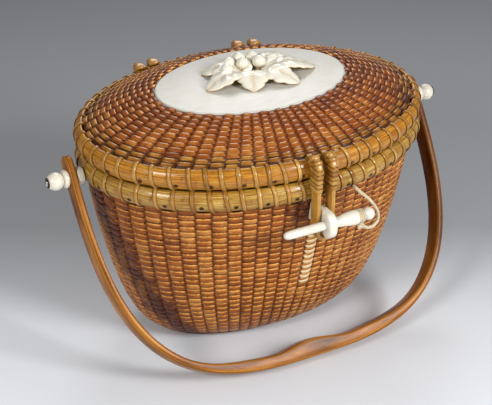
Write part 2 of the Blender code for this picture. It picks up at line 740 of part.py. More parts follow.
def smooth_route(points, step):
    """Even points on a Catmull-Rom curve through a hand-laid route."""
    ends = [2 * points[0] - points[1]] + points + [2 * points[-1] - points[-2]]
    dense = []
    for k in range(1, len(ends) - 2):
        p0, p1, p2, p3 = ends[k - 1:k + 3]
        for j in range(12):
            t = j / 12
            dense.append(0.5 * ((2 * p1) + (p2 - p0) * t + (2 * p0 - 5 * p1 + 4 * p2 - p3) * t * t
                                + (3 * p1 - p0 - 3 * p2 + p3) * t ** 3))
    dense.append(points[-1])
    lengths = [0.0]
    for here, there in zip(dense, dense[1:]):
        lengths.append(lengths[-1] + (there - here).length)
    count = ceil(lengths[-1] / step)
    even = []
    spot = 0
    for k in range(count + 1):
        target = lengths[-1] * k / count
        while spot < len(dense) - 2 and lengths[spot + 1] < target:
            spot += 1
        part = (target - lengths[spot]) / (lengths[spot + 1] - lengths[spot])
        even.append(dense[spot].lerp(dense[spot + 1], min(part, 1.0)))
    return even


def peg_cord():
    """Short cord from the nail in the body's rim to the knot under the peg's neck."""
    route = [Vector((x, y, SEAM_HEIGHT - drop)) for x, y, drop in CORD_ROUTE]
    points = smooth_route(route, CORD_DIAMETER * CORD_STEP_SHARE)
    curve = bpy.data.curves.new("peg_cord", "CURVE")
    curve.dimensions = "3D"
    curve.bevel_depth = CORD_DIAMETER / 2
    curve.bevel_resolution = 2
    curve.use_fill_caps = True
    spline = curve.splines.new("POLY")
    spline.points.add(len(points) - 1)
    for spot, point in zip(spline.points, points):
        spot.co = (*point, 1.0)
    curve.materials.append(plain_material("peg_cord", COTTON, 0.9))
    cord = bpy.data.objects.new("peg_cord", curve)
    PARTS.objects.link(cord)


def cord_nail():
    """Nail in the body's rim from which the peg's cord starts."""
    across, up = OUTER_HOOP_SHARES[2]
    face = rim_reach(CORD_NAIL_X) - OUTER_HOOP_DEPTH * across
    outward = Vector((CORD_NAIL_X / RIM_HALF_LENGTH ** 2, -face / RIM_HALF_WIDTH ** 2, 0.0))
    outward.normalize()
    seat = Vector((CORD_NAIL_X, -face, BODY_RIM_FOOT + HOOP_HEIGHT * up))
    centre = seat + outward * (CLEARANCE + CORD_NAIL_HEIGHT / 2)
    shape = bmesh.new()
    turn = outward.to_track_quat("Z", "Y").to_matrix().to_4x4()
    bmesh.ops.create_cone(shape, cap_ends=True, segments=TURNED_STEPS, radius1=CORD_DIAMETER / 2,
                          radius2=CORD_DIAMETER / 2, depth=CORD_NAIL_HEIGHT,
                          matrix=Matrix.Translation(centre) @ turn)
    place("cord_nail", mesh_from("cord_nail", shape), BRASS, 0.4, 0.8)


# Hinges

def eye_points(start, end, steps=7):
    """Points (y, z) round the hinge eye from one angle to another."""
    turns = [start + (end - start) * k / steps for k in range(steps + 1)]
    return [(HINGE_LINE + HINGE_EYE_RADIUS * cos(turn), SEAM_HEIGHT + HINGE_EYE_RADIUS * sin(turn))
            for turn in turns]


def strap_outline(face):
    """Lid strap seen from the side: hooked over the rim, down its back, to the eye."""
    back = face + HINGE_STRAP_DEPTH
    hook_foot = LID_RIM_TOP + LASH_PROUD + CLEARANCE
    hook_top = hook_foot + HINGE_HOOK_RISE
    neck = SEAM_HEIGHT + HINGE_EYE_RADIUS * 2
    outline = [(face - HINGE_HOOK_REACH, hook_foot), (face - HINGE_HOOK_RISE / 3, hook_foot),
               (face, hook_foot - HINGE_HOOK_RISE / 3), (face, neck)]
    outline += eye_points(pi, 2 * pi + pi / 4)
    outline += [(back, neck + HINGE_EYE_RADIUS), (back, hook_foot),
                (back - HINGE_HOOK_RISE / 2, hook_top - HINGE_HOOK_RISE / 5),
                (back - HINGE_HOOK_RISE, hook_top), (face - HINGE_HOOK_REACH, hook_top)]
    return outline


def ear_outline(face):
    """Body ear seen from the side: from the eye down the back of the body's rim."""
    foot = SEAM_HEIGHT - HINGE_EAR_DROP
    neck = SEAM_HEIGHT - HINGE_EYE_RADIUS * 2
    outline = [(face, neck), (face, foot), (face + HINGE_STRAP_DEPTH * 2 / 3, foot)]
    outline += [(face + HINGE_STRAP_DEPTH, neck - HINGE_EYE_RADIUS)]
    outline += eye_points(-pi / 4, pi)
    return outline


def hinge(label, centre, lid):
    """Two lid straps, the body's ear between them, and the rod through all three."""
    half = HINGE_STRAP_WIDTH / 2
    rod_centre = (centre, HINGE_LINE, SEAM_HEIGHT)
    rod_bore = cutter_rod("rod_bore_" + label, HINGE_ROD_RADIUS + CLEARANCE,
                          HINGE_SPREAD / 2, rod_centre)
    for place_name, offset in (("inner", -HINGE_STRAP_OFFSET), ("outer", HINGE_STRAP_OFFSET)):
        middle = abs(centre) + offset
        face = rim_reach(middle - half) + LASH_PROUD + CLEARANCE
        across = middle if centre > 0 else -middle
        strap = bmesh.new()
        plate(strap, strap_outline(face), across - half, across + half)
        name = "hinge_strap_" + label + "_" + place_name
        bore(place(name, mesh_from(name, strap), RATTAN, 0.4, carrier=lid), rod_bore)

    ear_half = HINGE_EAR_WIDTH / 2
    ear = bmesh.new()
    face = rim_reach(abs(centre) - ear_half) + LASH_PROUD + CLEARANCE
    plate(ear, ear_outline(face), centre - ear_half, centre + ear_half)
    name = "hinge_ear_" + label
    bore(place(name, mesh_from(name, ear), RATTAN, 0.4), rod_bore)

    reach = HINGE_STRAP_OFFSET + half + CLEARANCE
    end = reach + HINGE_ROD_HEAD_HEIGHT
    outline = [(0.0, end), (HINGE_ROD_HEAD_RADIUS, end), (HINGE_ROD_HEAD_RADIUS, reach),
               (HINGE_ROD_RADIUS, reach), (HINGE_ROD_RADIUS, -reach),
               (HINGE_ROD_HEAD_RADIUS, -reach), (HINGE_ROD_HEAD_RADIUS, -end), (0.0, -end)]
    name = "hinge_rod_" + label
    rod = spin(place(name, turned(name, outline), BRASS, 0.4, 0.8))
    rod.rotation_euler.y = pi / 2
    rod.location = rod_centre


# Carved sprig

def leaf(length, heading, foot):
    """A domed, pointed leaf lying on the plaque, lofted along its midrib."""
    along = Vector((cos(heading), sin(heading), 0.0))
    side = Vector((-sin(heading), cos(heading), 0.0))
    base = oval(SPRIG_HEART_LENGTH / 4, SPRIG_HEART_WIDTH / 4, heading, foot)
    base += Vector((SPRIG_X, SPRIG_Y, 0.0))
    sections = []
    for reach, wide, high in LEAF_FORM_SHARES:
        middle = base + along * length * reach
        half = side * LEAF_WIDTH / 2 * wide
        crest = Vector((0.0, 0.0, LEAF_HEIGHT * high))
        edge = crest * LEAF_EDGE_SHARE
        sections.append([middle - half, middle + half, middle + half + edge, middle + crest,
                         middle - half + edge])
    shape = bmesh.new()
    section_skin(shape, sections)
    return shape


def berry(angle, foot):
    """A berry that rises out of the sprig's heart."""
    ring = SPRIG_HEART_LENGTH / 2 - BERRY_RADIUS
    depth = SPRIG_HEART_WIDTH / 2 - BERRY_RADIUS
    centre = oval(ring, depth, angle, foot + CLEARANCE + BERRY_RADIUS)
    centre += Vector((SPRIG_X, SPRIG_Y, 0.0))
    shape = bmesh.new()
    bmesh.ops.create_uvsphere(shape, u_segments=10, v_segments=6, radius=BERRY_RADIUS,
                              matrix=Matrix.Translation(centre))
    return shape


def carving(lid):
    """One carved spray: leaves and berries grow out of a low oval heart."""
    foot = PLAQUE_TOP + CLEARANCE
    length = SPRIG_HEART_LENGTH / 2
    width = SPRIG_HEART_WIDTH / 2
    profile = [(length, width, foot), (length, width, foot + SPRIG_HEART_HEIGHT / 2),
               (length * SPRIG_TOP_SHARE, width * SPRIG_TOP_SHARE, foot + SPRIG_HEART_HEIGHT)]
    mesh = oval_skin("carved_sprig", profile, even_angles(TURNED_STEPS), capped=True)
    mesh.transform(Matrix.Translation((SPRIG_X, SPRIG_Y, 0.0)))
    sprig = place("carved_sprig", mesh, IVORY, 0.35, carrier=lid)
    shapes = [leaf(LEAF_LENGTH * share, radians(turn), foot) for turn, share in LEAF_PLAN_SHARES]
    shapes += [berry(2 * pi * k / BERRY_COUNT, foot) for k in range(BERRY_COUNT)]
    for k, shape in enumerate(shapes):
        name = "sprig_piece_" + str(k + 1)
        piece = bpy.data.objects.new(name, mesh_from(name, shape))
        piece.hide_render = True
        piece.display_type = "WIRE"
        CUTTERS.objects.link(piece)
        joined = sprig.modifiers.new(name, "BOOLEAN")
        joined.operation = "UNION"
        joined.solver = "EXACT"
        joined.object = piece


clear_scene()
PARTS = new_collection("basket_purse")
CUTTERS = new_collection("cutters")

lid_axis = axis_empty("lid_axis", (0.0, HINGE_LINE, SEAM_HEIGHT))
handle_axis = axis_empty("handle_axis", (0.0, 0.0, PIVOT_HEIGHT), -HANDLE_TILT)
peg_axis = axis_empty("peg_axis", (HASP_CENTRE, PEG_LINE, SEAM_HEIGHT - PEG_DROP))

base_board()
pin_bore = cutter_rod("pin_bore", PIN_RADIUS + CLEARANCE, RIM_LENGTH * 2, (0.0, 0.0, PIVOT_HEIGHT))
bore(woven_wall("body_weave", body_profile(), CANE), pin_bore)
bore(hoop("body_rim_outer", OUTER_HOOP_SHARES, 0.0, OUTER_HOOP_DEPTH, BODY_RIM_FOOT,
          HOOP_HEIGHT), pin_bore)
bore(hoop("body_rim_inner", INNER_HOOP_SHARES, INNER_HOOP_INSET, INNER_HOOP_DEPTH, BODY_RIM_FOOT,
          HOOP_HEIGHT), pin_bore)

woven_wall("lid_weave", lid_profile(), LID_CANE, carrier=lid_axis)
hoop("lid_rim_outer", OUTER_HOOP_SHARES, 0.0, OUTER_HOOP_DEPTH, LID_RIM_FOOT, HOOP_HEIGHT,
     carrier=lid_axis)
hoop("lid_rim_inner", INNER_HOOP_SHARES, INNER_HOOP_INSET, INNER_HOOP_DEPTH, LID_RIM_FOOT,
     LID_INNER_HOOP_HEIGHT, carrier=lid_axis)
lid_board(lid_axis)
plaque(lid_axis)
carving(lid_axis)

handle_bar(handle_axis)
knob_set("left", -1)
knob_set("right", 1)

hasp(lid_axis)
staple()
peg(peg_axis)
cord_knot(peg_axis)
cord_nail()
peg_cord()

hinge("left", -HINGE_SPREAD / 2, lid_axis)
hinge("right", HINGE_SPREAD / 2, lid_axis)
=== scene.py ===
# %% [markdown]
# # An oval basket purse of woven cane
#
# The real object is an oval basket with a lid. Thin cane is woven over and under upright
# staves, two golden rattan rims close the edges, and a bent wooden handle swings on two turned
# knobs. The solids of the CAD model are loaded first. They are the fixed frame of this scene:
# each piece made here is placed in their coordinates, in metres, and rides on one of their
# bodies.

# %% Load the frame
from math import atan2, cos, hypot, pi, radians, sin, sqrt
from random import Random

import bmesh
import bpy
from mathutils import Matrix, Vector
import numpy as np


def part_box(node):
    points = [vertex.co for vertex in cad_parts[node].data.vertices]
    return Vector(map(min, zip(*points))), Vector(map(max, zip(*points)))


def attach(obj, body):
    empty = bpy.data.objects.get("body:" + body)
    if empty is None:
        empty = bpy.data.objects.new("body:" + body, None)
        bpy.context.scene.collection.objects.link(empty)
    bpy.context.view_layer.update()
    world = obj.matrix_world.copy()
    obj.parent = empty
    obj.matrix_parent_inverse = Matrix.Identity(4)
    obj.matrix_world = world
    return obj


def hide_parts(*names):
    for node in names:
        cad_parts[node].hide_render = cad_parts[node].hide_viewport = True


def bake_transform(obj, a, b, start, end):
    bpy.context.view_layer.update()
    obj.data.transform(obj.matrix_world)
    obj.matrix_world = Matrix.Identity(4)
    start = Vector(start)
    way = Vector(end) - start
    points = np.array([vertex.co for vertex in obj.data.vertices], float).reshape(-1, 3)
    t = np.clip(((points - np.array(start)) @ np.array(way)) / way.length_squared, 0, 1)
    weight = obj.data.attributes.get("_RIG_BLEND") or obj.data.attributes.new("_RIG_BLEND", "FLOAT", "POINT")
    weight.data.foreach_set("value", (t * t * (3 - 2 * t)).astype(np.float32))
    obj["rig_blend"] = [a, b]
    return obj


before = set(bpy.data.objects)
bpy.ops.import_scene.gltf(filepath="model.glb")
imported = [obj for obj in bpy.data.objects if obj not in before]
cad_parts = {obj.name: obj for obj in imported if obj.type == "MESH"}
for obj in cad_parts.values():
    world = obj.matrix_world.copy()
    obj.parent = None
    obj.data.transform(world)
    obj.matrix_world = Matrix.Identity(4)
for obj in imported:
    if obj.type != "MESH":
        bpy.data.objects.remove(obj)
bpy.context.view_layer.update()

print("nodes in the frame:", len(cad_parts))

# %% [markdown]
# ## The camera
#
# The photograph looks down at the basket from the left of its clasp. The camera is described by
# two angles and a place, because a turn about the vertical and a tilt are easy to read and to
# change. The lens is long, so the far rim is nearly as wide as the near one.

# %% Camera
CAMERA_TURN = radians(-27.57)
CAMERA_RISE = radians(30.36)
CAMERA_PLACE = (-0.4159, -0.7892, 0.6032)
CAMERA_LENS = 104.2

camera_data = bpy.data.cameras.new("camera")
camera_data.lens = CAMERA_LENS
camera_data.sensor_width = 36.0
camera = bpy.data.objects.new("camera", camera_data)
camera.location = CAMERA_PLACE
camera.rotation_euler = (pi / 2 - CAMERA_RISE, 0.0, CAMERA_TURN)
bpy.context.scene.collection.objects.link(camera)
bpy.context.scene.camera = camera
print("camera", round(camera.location.length, 3), "m from the basket's foot")

# %% [markdown]
# ## Small helpers for nodes
#
# Materials and Geometry Nodes are both networks of nodes. Adding a node, setting it and joining
# its inputs takes the same steps each time, so one function does all three. An input gets either
# a plain value or the output of another node. Every material ends in the same way too: a colour,
# a roughness and a fine relief go into its shader, with a few plain settings.

# %% Node helpers
def feed(tree, socket, value):
    """Join another node's output to a socket or set a plain value; a colour needs no alpha."""
    if isinstance(value, bpy.types.NodeSocket):
        tree.links.new(value, socket)
    elif socket.type == "RGBA":
        socket.default_value = (*value, 1.0)
    else:
        socket.default_value = value


def feed_all(tree, node, inputs):
    """Feed some inputs of a node, which are given by name or number."""
    for key, value in inputs.items():
        feed(tree, node.inputs[key], value)


def add(tree, kind, inputs=None, **settings):
    """Add a node. Its settings come first, because some of them change its inputs."""
    made = tree.nodes.new(kind)
    for name, value in settings.items():
        setattr(made, name, value)
    feed_all(tree, made, inputs or {})
    return made


def output(tree, kind, inputs=None, **settings):
    """Add a node and return its first output."""
    return add(tree, kind, inputs, **settings).outputs[0]


def maths(tree, operation, first, second=0.0):
    return output(tree, "ShaderNodeMath", {0: first, 1: second}, operation=operation)


def times(tree, first, second):
    return maths(tree, "MULTIPLY", first, second)


def new_tree(name, kind, inputs, outputs):
    """Node group with named inputs, each (name, socket type, default or None), and outputs."""
    tree = bpy.data.node_groups.new(name, kind)
    for label, socket_type, value in inputs:
        socket = tree.interface.new_socket(label, in_out="INPUT", socket_type=socket_type)
        if value is not None:
            socket.default_value = value
    for label, socket_type in outputs:
        tree.interface.new_socket(label, in_out="OUTPUT", socket_type=socket_type)
    return tree, tree.nodes.new("NodeGroupInput").outputs, tree.nodes.new("NodeGroupOutput").inputs


def ramp(tree, value, stops):
    """Colour ramp with stops (place, colour)."""
    made = add(tree, "ShaderNodeValToRGB", {"Fac": value})
    elements = made.color_ramp.elements
    solid = [(position, (*colour, 1.0)) for position, colour in stops]
    elements[0].position, elements[0].color = solid[0]
    elements[1].position, elements[1].color = solid[-1]
    for position, colour in solid[1:-1]:
        elements.new(position).color = colour
    return made.outputs["Color"]


def mix_colour(tree, factor, first, second):
    inputs = {0: factor, 6: first, 7: second}
    return add(tree, "ShaderNodeMix", inputs, data_type="RGBA").outputs[2]


def noise(tree, vector, scale, detail=3.0):
    return output(tree, "ShaderNodeTexNoise", {"Vector": vector, "Scale": scale, "Detail": detail})


def between(tree, value, low, high, new_low=0.0, new_high=1.0):
    """Move a value from one range to another and clamp it there."""
    inputs = {"Value": value, "From Min": low, "From Max": high, "To Min": new_low,
              "To Max": new_high}
    return output(tree, "ShaderNodeMapRange", inputs)


def new_material(name):
    material = bpy.data.materials.new(name)
    material.use_nodes = True
    return material, material.node_tree, material.node_tree.nodes["Principled BSDF"]


def attribute(tree, name):
    return add(tree, "ShaderNodeAttribute", attribute_name=name).outputs["Fac"]


def object_place(tree):
    return add(tree, "ShaderNodeTexCoord").outputs["Object"]


def uv_place(tree):
    return output(tree, "ShaderNodeUVMap", uv_map="UVMap")


def scaled(tree, place, scale):
    """Stretch a place along its axes, so that noise made from it turns into streaks."""
    return output(tree, "ShaderNodeMapping", {"Vector": place, "Scale": scale})


def finish_surface(tree, shader, colour, roughness, height, strength, settings, depth=0.0002):
    """Feed a shader its colour, its roughness, a fine relief and some plain settings."""
    relief = output(tree, "ShaderNodeBump",
                    {"Height": height, "Strength": strength, "Distance": depth})
    feed_all(tree, shader, {"Base Color": colour, "Roughness": roughness, "Normal": relief})
    feed_all(tree, shader, settings)


def finish_from_group(tree, shader, group, strength, settings):
    """The same from a group node that puts out a colour, a roughness and a height."""
    surface = [group.outputs[name] for name in ("Colour", "Roughness", "Height")]
    finish_surface(tree, shader, *surface, strength, settings)


print("node helpers ready")

# %% [markdown]
# ## Small helpers for meshes
#
# Two shapes come back again and again. A skin joins closed sections like the slices of a bar, and
# it makes hoops, the handle and the cord. A turned piece is an outline spun about an axis, as on
# a lathe, and it makes knobs and the peg. A skin gets a UV map that runs along and round the
# piece, for grain that has to follow it.

# %% Mesh helpers
LOBE_DEPTH = 0.07


def full_turn(count):
    """Angles at equal steps round a whole turn."""
    return [2 * pi * k / count for k in range(count)]


def pushed(value, power):
    """Push a sine or cosine towards -1 or 1, which makes a round section squarer."""
    return abs(value) ** power * (1 if value > 0 else -1)


def keep_mesh(name, shape):
    """Turn bmesh faces outwards and keep them as a smooth object of the scene."""
    bmesh.ops.recalc_face_normals(shape, faces=shape.faces)
    mesh = bpy.data.meshes.new(name)
    shape.to_mesh(mesh)
    shape.free()
    mesh.shade_smooth()
    piece = bpy.data.objects.new(name, mesh)
    bpy.context.scene.collection.objects.link(piece)
    return piece


def add_skin(shape, sections, looped=False):
    """Join closed sections with the same number of points; open ends get a cap."""
    layers = shape.loops.layers.uv
    uv_layer = layers.get("UVMap") or layers.new("UVMap")
    rings = [[shape.verts.new(point) for point in section] for section in sections]
    count = len(rings[0])
    spans = len(rings) if looped else len(rings) - 1
    for row in range(spans):
        first = rings[row]
        second = rings[(row + 1) % len(rings)]
        for k in range(count):
            j = (k + 1) % count
            face = shape.faces.new((first[k], first[j], second[j], second[k]))
            spots = ((row, k), (row, k + 1), (row + 1, k + 1), (row + 1, k))
            for loop, (along, round_about) in zip(face.loops, spots):
                loop[uv_layer].uv = (along / spans, round_about / count)
    if not looped:
        shape.faces.new(rings[0][::-1])
        shape.faces.new(rings[-1])


def skin(name, sections, looped=False):
    shape = bmesh.new()
    add_skin(shape, sections, looped)
    return keep_mesh(name, shape)


def add_turned(shape, outline, place, steps=48, looped=False):
    """Spin (radius, height) points about +Z and move the result with a matrix."""
    columns = []
    for radius, height in outline:
        turns = full_turn(steps) if radius > 1e-6 else [0.0]
        points = [Vector((radius * cos(t), radius * sin(t), height)) for t in turns]
        columns.append([shape.verts.new(place @ point) for point in points])
    pairs = list(zip(columns, columns[1:]))
    if looped:
        pairs.append((columns[-1], columns[0]))
    for low, high in pairs:
        for k in range(steps):
            j = (k + 1) % steps
            corners = [low[k % len(low)], low[j % len(low)],
                       high[j % len(high)], high[k % len(high)]]
            shape.faces.new(list(dict.fromkeys(corners)))


def turned(name, outline, place, steps=48, looped=False):
    shape = bmesh.new()
    add_turned(shape, outline, place, steps, looped)
    return keep_mesh(name, shape)


def arc(radius, centre, start, end, steps):
    """Points (radius, height) of a circle about the axis, by angle from +Z."""
    turns = [start + (end - start) * k / steps for k in range(steps + 1)]
    return [(radius * sin(turn), centre + radius * cos(turn)) for turn in turns]


def smooth_line(points, steps):
    """Catmull-Rom curve through points, with a number of steps between each two."""
    ends = [2 * points[0] - points[1]] + points + [2 * points[-1] - points[-2]]
    dense = []
    for k in range(1, len(ends) - 2):
        p0, p1, p2, p3 = ends[k - 1:k + 3]
        for j in range(steps):
            t = j / steps
            dense.append(0.5 * ((2 * p1) + (p2 - p0) * t + (2 * p0 - 5 * p1 + 4 * p2 - p3) * t * t
                                + (3 * p1 - p0 - 3 * p2 + p3) * t ** 3))
    dense.append(points[-1])
    return dense


def bar_section(middle, across, through, powers, points):
    """Section spread by two half sizes, between an ellipse (powers 1) and a rectangle (near 0)."""
    return [middle + across * pushed(cos(turn), powers[0]) + through * pushed(sin(turn), powers[1])
            for turn in full_turn(points)]


def rope_sections(line, radius, lay, strands=3, closed=False, steps=24):
    """Sections of a twisted cord: lobes that turn about the line, one turn in each lay."""
    count = len(line)
    sections = []
    travelled = 0.0
    side = (line[1] - line[0]).orthogonal()
    for k, place in enumerate(line):
        before = line[k - 1] if closed else line[max(k - 1, 0)]
        after = line[(k + 1) % count] if closed else line[min(k + 1, count - 1)]
        along = (after - before).normalized()
        side = (side - along * side.dot(along)).normalized()
        other = along.cross(side)
        travelled += (place - line[max(k - 1, 0)]).length
        twist = 2 * pi * travelled / lay
        section = []
        for turn in full_turn(steps):
            reach = radius * (1 - LOBE_DEPTH * (1 - cos(strands * (turn - twist))))
            section.append(place + side * reach * cos(turn) + other * reach * sin(turn))
        sections.append(section)
    return sections


print("mesh helpers ready")

# %% [markdown]
# ## The peg's cord
#
# A short cotton cord keeps the peg with the basket. It leaves a nail in the body's rim, hangs in
# one loop beside the peg and ends in a knot under the peg's neck. It is a twisted cord, so its
# section has lobes that turn along it. It hangs between two bodies, and a blend lets it bend when
# the peg is drawn out. Cord and camera are made before anything else, because they decide
# whether the basket fits in the picture.

# %% Cord
CORD_DIAMETER = 0.0024
CORD_LAY = 0.006
CORD_STOPS = [
    (0.0278, -0.0934, 0.1342), (0.0283, -0.0958, 0.1339), (0.0309, -0.0985, 0.1310),
    (0.0350, -0.1010, 0.1270), (0.0384, -0.1035, 0.1221), (0.0403, -0.1055, 0.1171),
    (0.0395, -0.1072, 0.1130), (0.0363, -0.1086, 0.1104), (0.0325, -0.1092, 0.1095),
    (0.0293, -0.1091, 0.1103), (0.0265, -0.1088, 0.1122)]
PEG_LINE = Vector((0.001, -0.1082, 0.120))
PEG_NECK_REACH = 0.0233
PEG_NECK_RADIUS = 0.0029
KNOT_RADIUS = 0.0025
KNOT_FORWARD = 0.0016
TURN_SHIFTS = (-0.0015, 0.0, 0.0015)
TURN_LAY = 0.0065
TURN_STEPS = 48
KNOT_STEPS = 96
# Pulled tight, the turns and the knot are of thinner cord, and the knot sits up to the turns.
TURN_ROPE_RADIUS = CORD_DIAMETER * 0.33
KNOT_ROPE_RADIUS = CORD_DIAMETER * 0.45
KNOT_SPREAD = KNOT_RADIUS * 0.27
KNOT_DROP = KNOT_RADIUS * 0.85

cotton, tree, shader = new_material("cotton cord")
place = object_place(tree)
tint = mix_colour(tree, noise(tree, place, 160.0, 2.0), (0.72, 0.62, 0.43), (0.40, 0.31, 0.18))
finish_surface(tree, shader, tint, 0.85, noise(tree, place, 2600.0), 0.5, {"Sheen Weight": 0.3})

cord_line = smooth_line([Vector(stop) for stop in CORD_STOPS], 12)
peg_cord = skin("peg_cord_twisted", rope_sections(cord_line, CORD_DIAMETER / 2, CORD_LAY))
peg_cord.data.materials.append(cotton)
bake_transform(peg_cord, "basket", "peg", start=CORD_STOPS[0], end=CORD_STOPS[-1])
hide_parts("peg_cord")


def knot_point(turn):
    """Point of a trefoil knot that is three units wide each way, at an angle of its run."""
    return Vector((cos(turn) + 2 * cos(2 * turn), -sin(3 * turn), sin(turn) - 2 * sin(2 * turn)))


neck = PEG_LINE + Vector((PEG_NECK_REACH, 0.0, 0.0))
turn_radius = PEG_NECK_RADIUS + CORD_DIAMETER / 2 + 0.0001
knot_centre = neck - Vector((0.0, KNOT_FORWARD, turn_radius + KNOT_DROP))
knot_shape = bmesh.new()
for shift in TURN_SHIFTS:
    circle = [neck + Vector((shift, turn_radius * cos(turn), turn_radius * sin(turn)))
              for turn in full_turn(TURN_STEPS)]
    add_skin(knot_shape, rope_sections(circle, TURN_ROPE_RADIUS, TURN_LAY, closed=True),
             looped=True)
knot_line = [knot_centre + knot_point(turn) * KNOT_SPREAD for turn in full_turn(KNOT_STEPS)]
add_skin(knot_shape, rope_sections(knot_line, KNOT_ROPE_RADIUS, CORD_LAY, closed=True),
         looped=True)
peg_knot = keep_mesh("peg_cord_knot", knot_shape)
peg_knot.data.materials.append(cotton)
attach(peg_knot, "peg")
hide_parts("cord_knot")

# %% [markdown]
# ## Stage and light
#
# The basket stands on a plain pale floor. Its colour is painted pale in front and grey behind it,
# a painted falloff of light. A warm soft light from the left models the weave, a stronger one from
# the right front gives the shine on the rims and the handle, a third one behind picks out the far
# rim, and a grey world fills the shadows.

# %% Floor
FLOOR_HALF = 6.0
# Floor tones by depth are a painted falloff of light, pale in front and grey behind.
FLOOR_FALLOFF_TONES = [(-0.16, 0.80), (-0.02, 0.66), (0.10, 0.36), (0.40, 0.26), (0.60, 0.19)]
PAPER_TINT = Vector((0.95, 0.98, 1.03))

floor_mesh = bpy.data.meshes.new("floor")
corners = [(-1, -1), (1, -1), (1, 1), (-1, 1)]
floor_mesh.from_pydata([(FLOOR_HALF * x, FLOOR_HALF * y, 0.0) for x, y in corners], [],
                       [(0, 1, 2, 3)])
floor = bpy.data.objects.new("floor", floor_mesh)
bpy.context.scene.collection.objects.link(floor)

paper, tree, shader = new_material("backdrop paper")
facing_camera = add(tree, "ShaderNodeMapping",
                    {"Vector": object_place(tree), "Rotation": (0.0, 0.0, -CAMERA_TURN)})
depth = add(tree, "ShaderNodeSeparateXYZ", {0: facing_camera.outputs[0]}).outputs["Y"]
tint = ramp(tree, between(tree, depth, -1.0, 1.0),
            [((depth_place + 1) / 2, PAPER_TINT * tone) for depth_place, tone in FLOOR_FALLOFF_TONES])
feed_all(tree, shader, {"Base Color": tint, "Roughness": 0.85})
floor_mesh.materials.append(paper)
print("floor", 2 * FLOOR_HALF, "m wide")

# %% Lights
TARGET = Vector((0.0, 0.0, 0.09))


def soft_light(name, place, size, power, colour=(1.0, 1.0, 1.0)):
    light = bpy.data.lights.new(name, "AREA")
    light.shape = "SQUARE"
    light.size = size
    light.energy = power
    light.color = colour
    holder = bpy.data.objects.new(name, light)
    holder.location = place
    holder.rotation_euler = (TARGET - Vector(place)).to_track_quat("-Z", "Y").to_euler()
    bpy.context.scene.collection.objects.link(holder)


soft_light("left light", (-1.15, -0.65, 0.90), 0.4, 11.5, (1.0, 0.98, 0.95))
soft_light("right light", (0.60, -1.20, 0.80), 0.45, 20.5)
soft_light("back light", (0.55, 1.0, 1.0), 0.55, 6.0)
world = bpy.data.worlds.new("studio")
world.use_nodes = True
feed_all(world.node_tree, world.node_tree.nodes["Background"],
         {"Color": (0.80, 0.83, 0.87), "Strength": 0.25})
bpy.context.scene.world = world
bpy.context.scene.view_settings.view_transform = "Standard"
print("three soft lights and a grey world")

# %% [markdown]
# ## Ovals and the basket's outline
#
# Every ring of the basket is an oval. The staves stand at equal turns about the basket's middle,
# as the photograph shows, so they are closer together in front than at the ends. The body's wall
# follows one curve from the base board up to the rim, fuller in its lower half, and the lid's
# wall rises in a low dome from its rim to the plaque.

# %% Sizes of the frame
RIM_HALF_LENGTH = 0.127
RIM_HALF_WIDTH = 0.0945
BODY_RIM_FOOT = 0.13115
BODY_RIM_TOP = 0.14585
LID_RIM_FOOT = 0.14715
LID_RIM_TOP = 0.16185
SEAM_HEIGHT = 0.1465
OUTER_HOOP_DEPTH = 0.0055
INNER_HOOP_INSET = 0.0091
INNER_HOOP_DEPTH = 0.0035
LID_INNER_HOOP_HEIGHT = 0.0110
WALL_INSET = 0.0061
WALL_HALF = 0.0012
BASE_HALF_LENGTH = 0.077
BASE_HALF_WIDTH = 0.041
BASE_GROOVE = 0.0043
BOARD_HALF_LENGTH = 0.0688
BOARD_HALF_WIDTH = 0.0468
BOARD_GROOVE = 0.1732
COLLAR_HALF_LENGTH = 0.0709
COLLAR_HALF_WIDTH = 0.0489
COLLAR_HEIGHT = 0.1798
BODY_STAVES = 60
BODY_STAVE_START_SHARE = 0.5
LID_STAVES = 62
LID_STAVE_START_SHARE = 0.53
FINE_STEPS = 400
# Powers of the wall's curves: a larger one below, and smaller ones above, make it fuller.
BODY_END_DEPTH_POWER = 1.19
BODY_END_POWER = 0.504
BODY_SIDE_POWER = 0.461
LID_RISE_POWER = 1.35
WALL_TOP_LENGTH = RIM_HALF_LENGTH - WALL_INSET
WALL_TOP_WIDTH = RIM_HALF_WIDTH - WALL_INSET


def oval(half_length, half_width, angle, height=0.0):
    return Vector((half_length * cos(angle), half_width * sin(angle), height))


def even_angles(count, start_share=0.0):
    """Angles of the rim's oval at equal turns about its middle."""
    turns = [2 * pi * (k + start_share) / count for k in range(count)]
    return [atan2(sin(turn) / RIM_HALF_WIDTH, cos(turn) / RIM_HALF_LENGTH) for turn in turns]


def body_ring(share):
    """Outer oval of the body at a share of its height, as (half length, half width, height)."""
    depth = 1 - share ** 2
    end_share = (1 - depth ** BODY_END_DEPTH_POWER) ** BODY_END_POWER
    side_share = (1 - depth) ** BODY_SIDE_POWER
    return Vector((BASE_HALF_LENGTH + (WALL_TOP_LENGTH - BASE_HALF_LENGTH) * end_share,
                   BASE_HALF_WIDTH + (WALL_TOP_WIDTH - BASE_HALF_WIDTH) * side_share,
                   BODY_RIM_FOOT - depth * (BODY_RIM_FOOT - BASE_GROOVE)))


def lid_ring(share):
    """Outer oval of the lid from its rim (0) in to the board under the plaque (1)."""
    rise = 1 - (1 - share) ** LID_RISE_POWER
    return Vector((WALL_TOP_LENGTH + (COLLAR_HALF_LENGTH - WALL_TOP_LENGTH) * share,
                   WALL_TOP_WIDTH + (COLLAR_HALF_WIDTH - WALL_TOP_WIDTH) * share,
                   LID_RIM_TOP + (COLLAR_HEIGHT - LID_RIM_TOP) * rise))


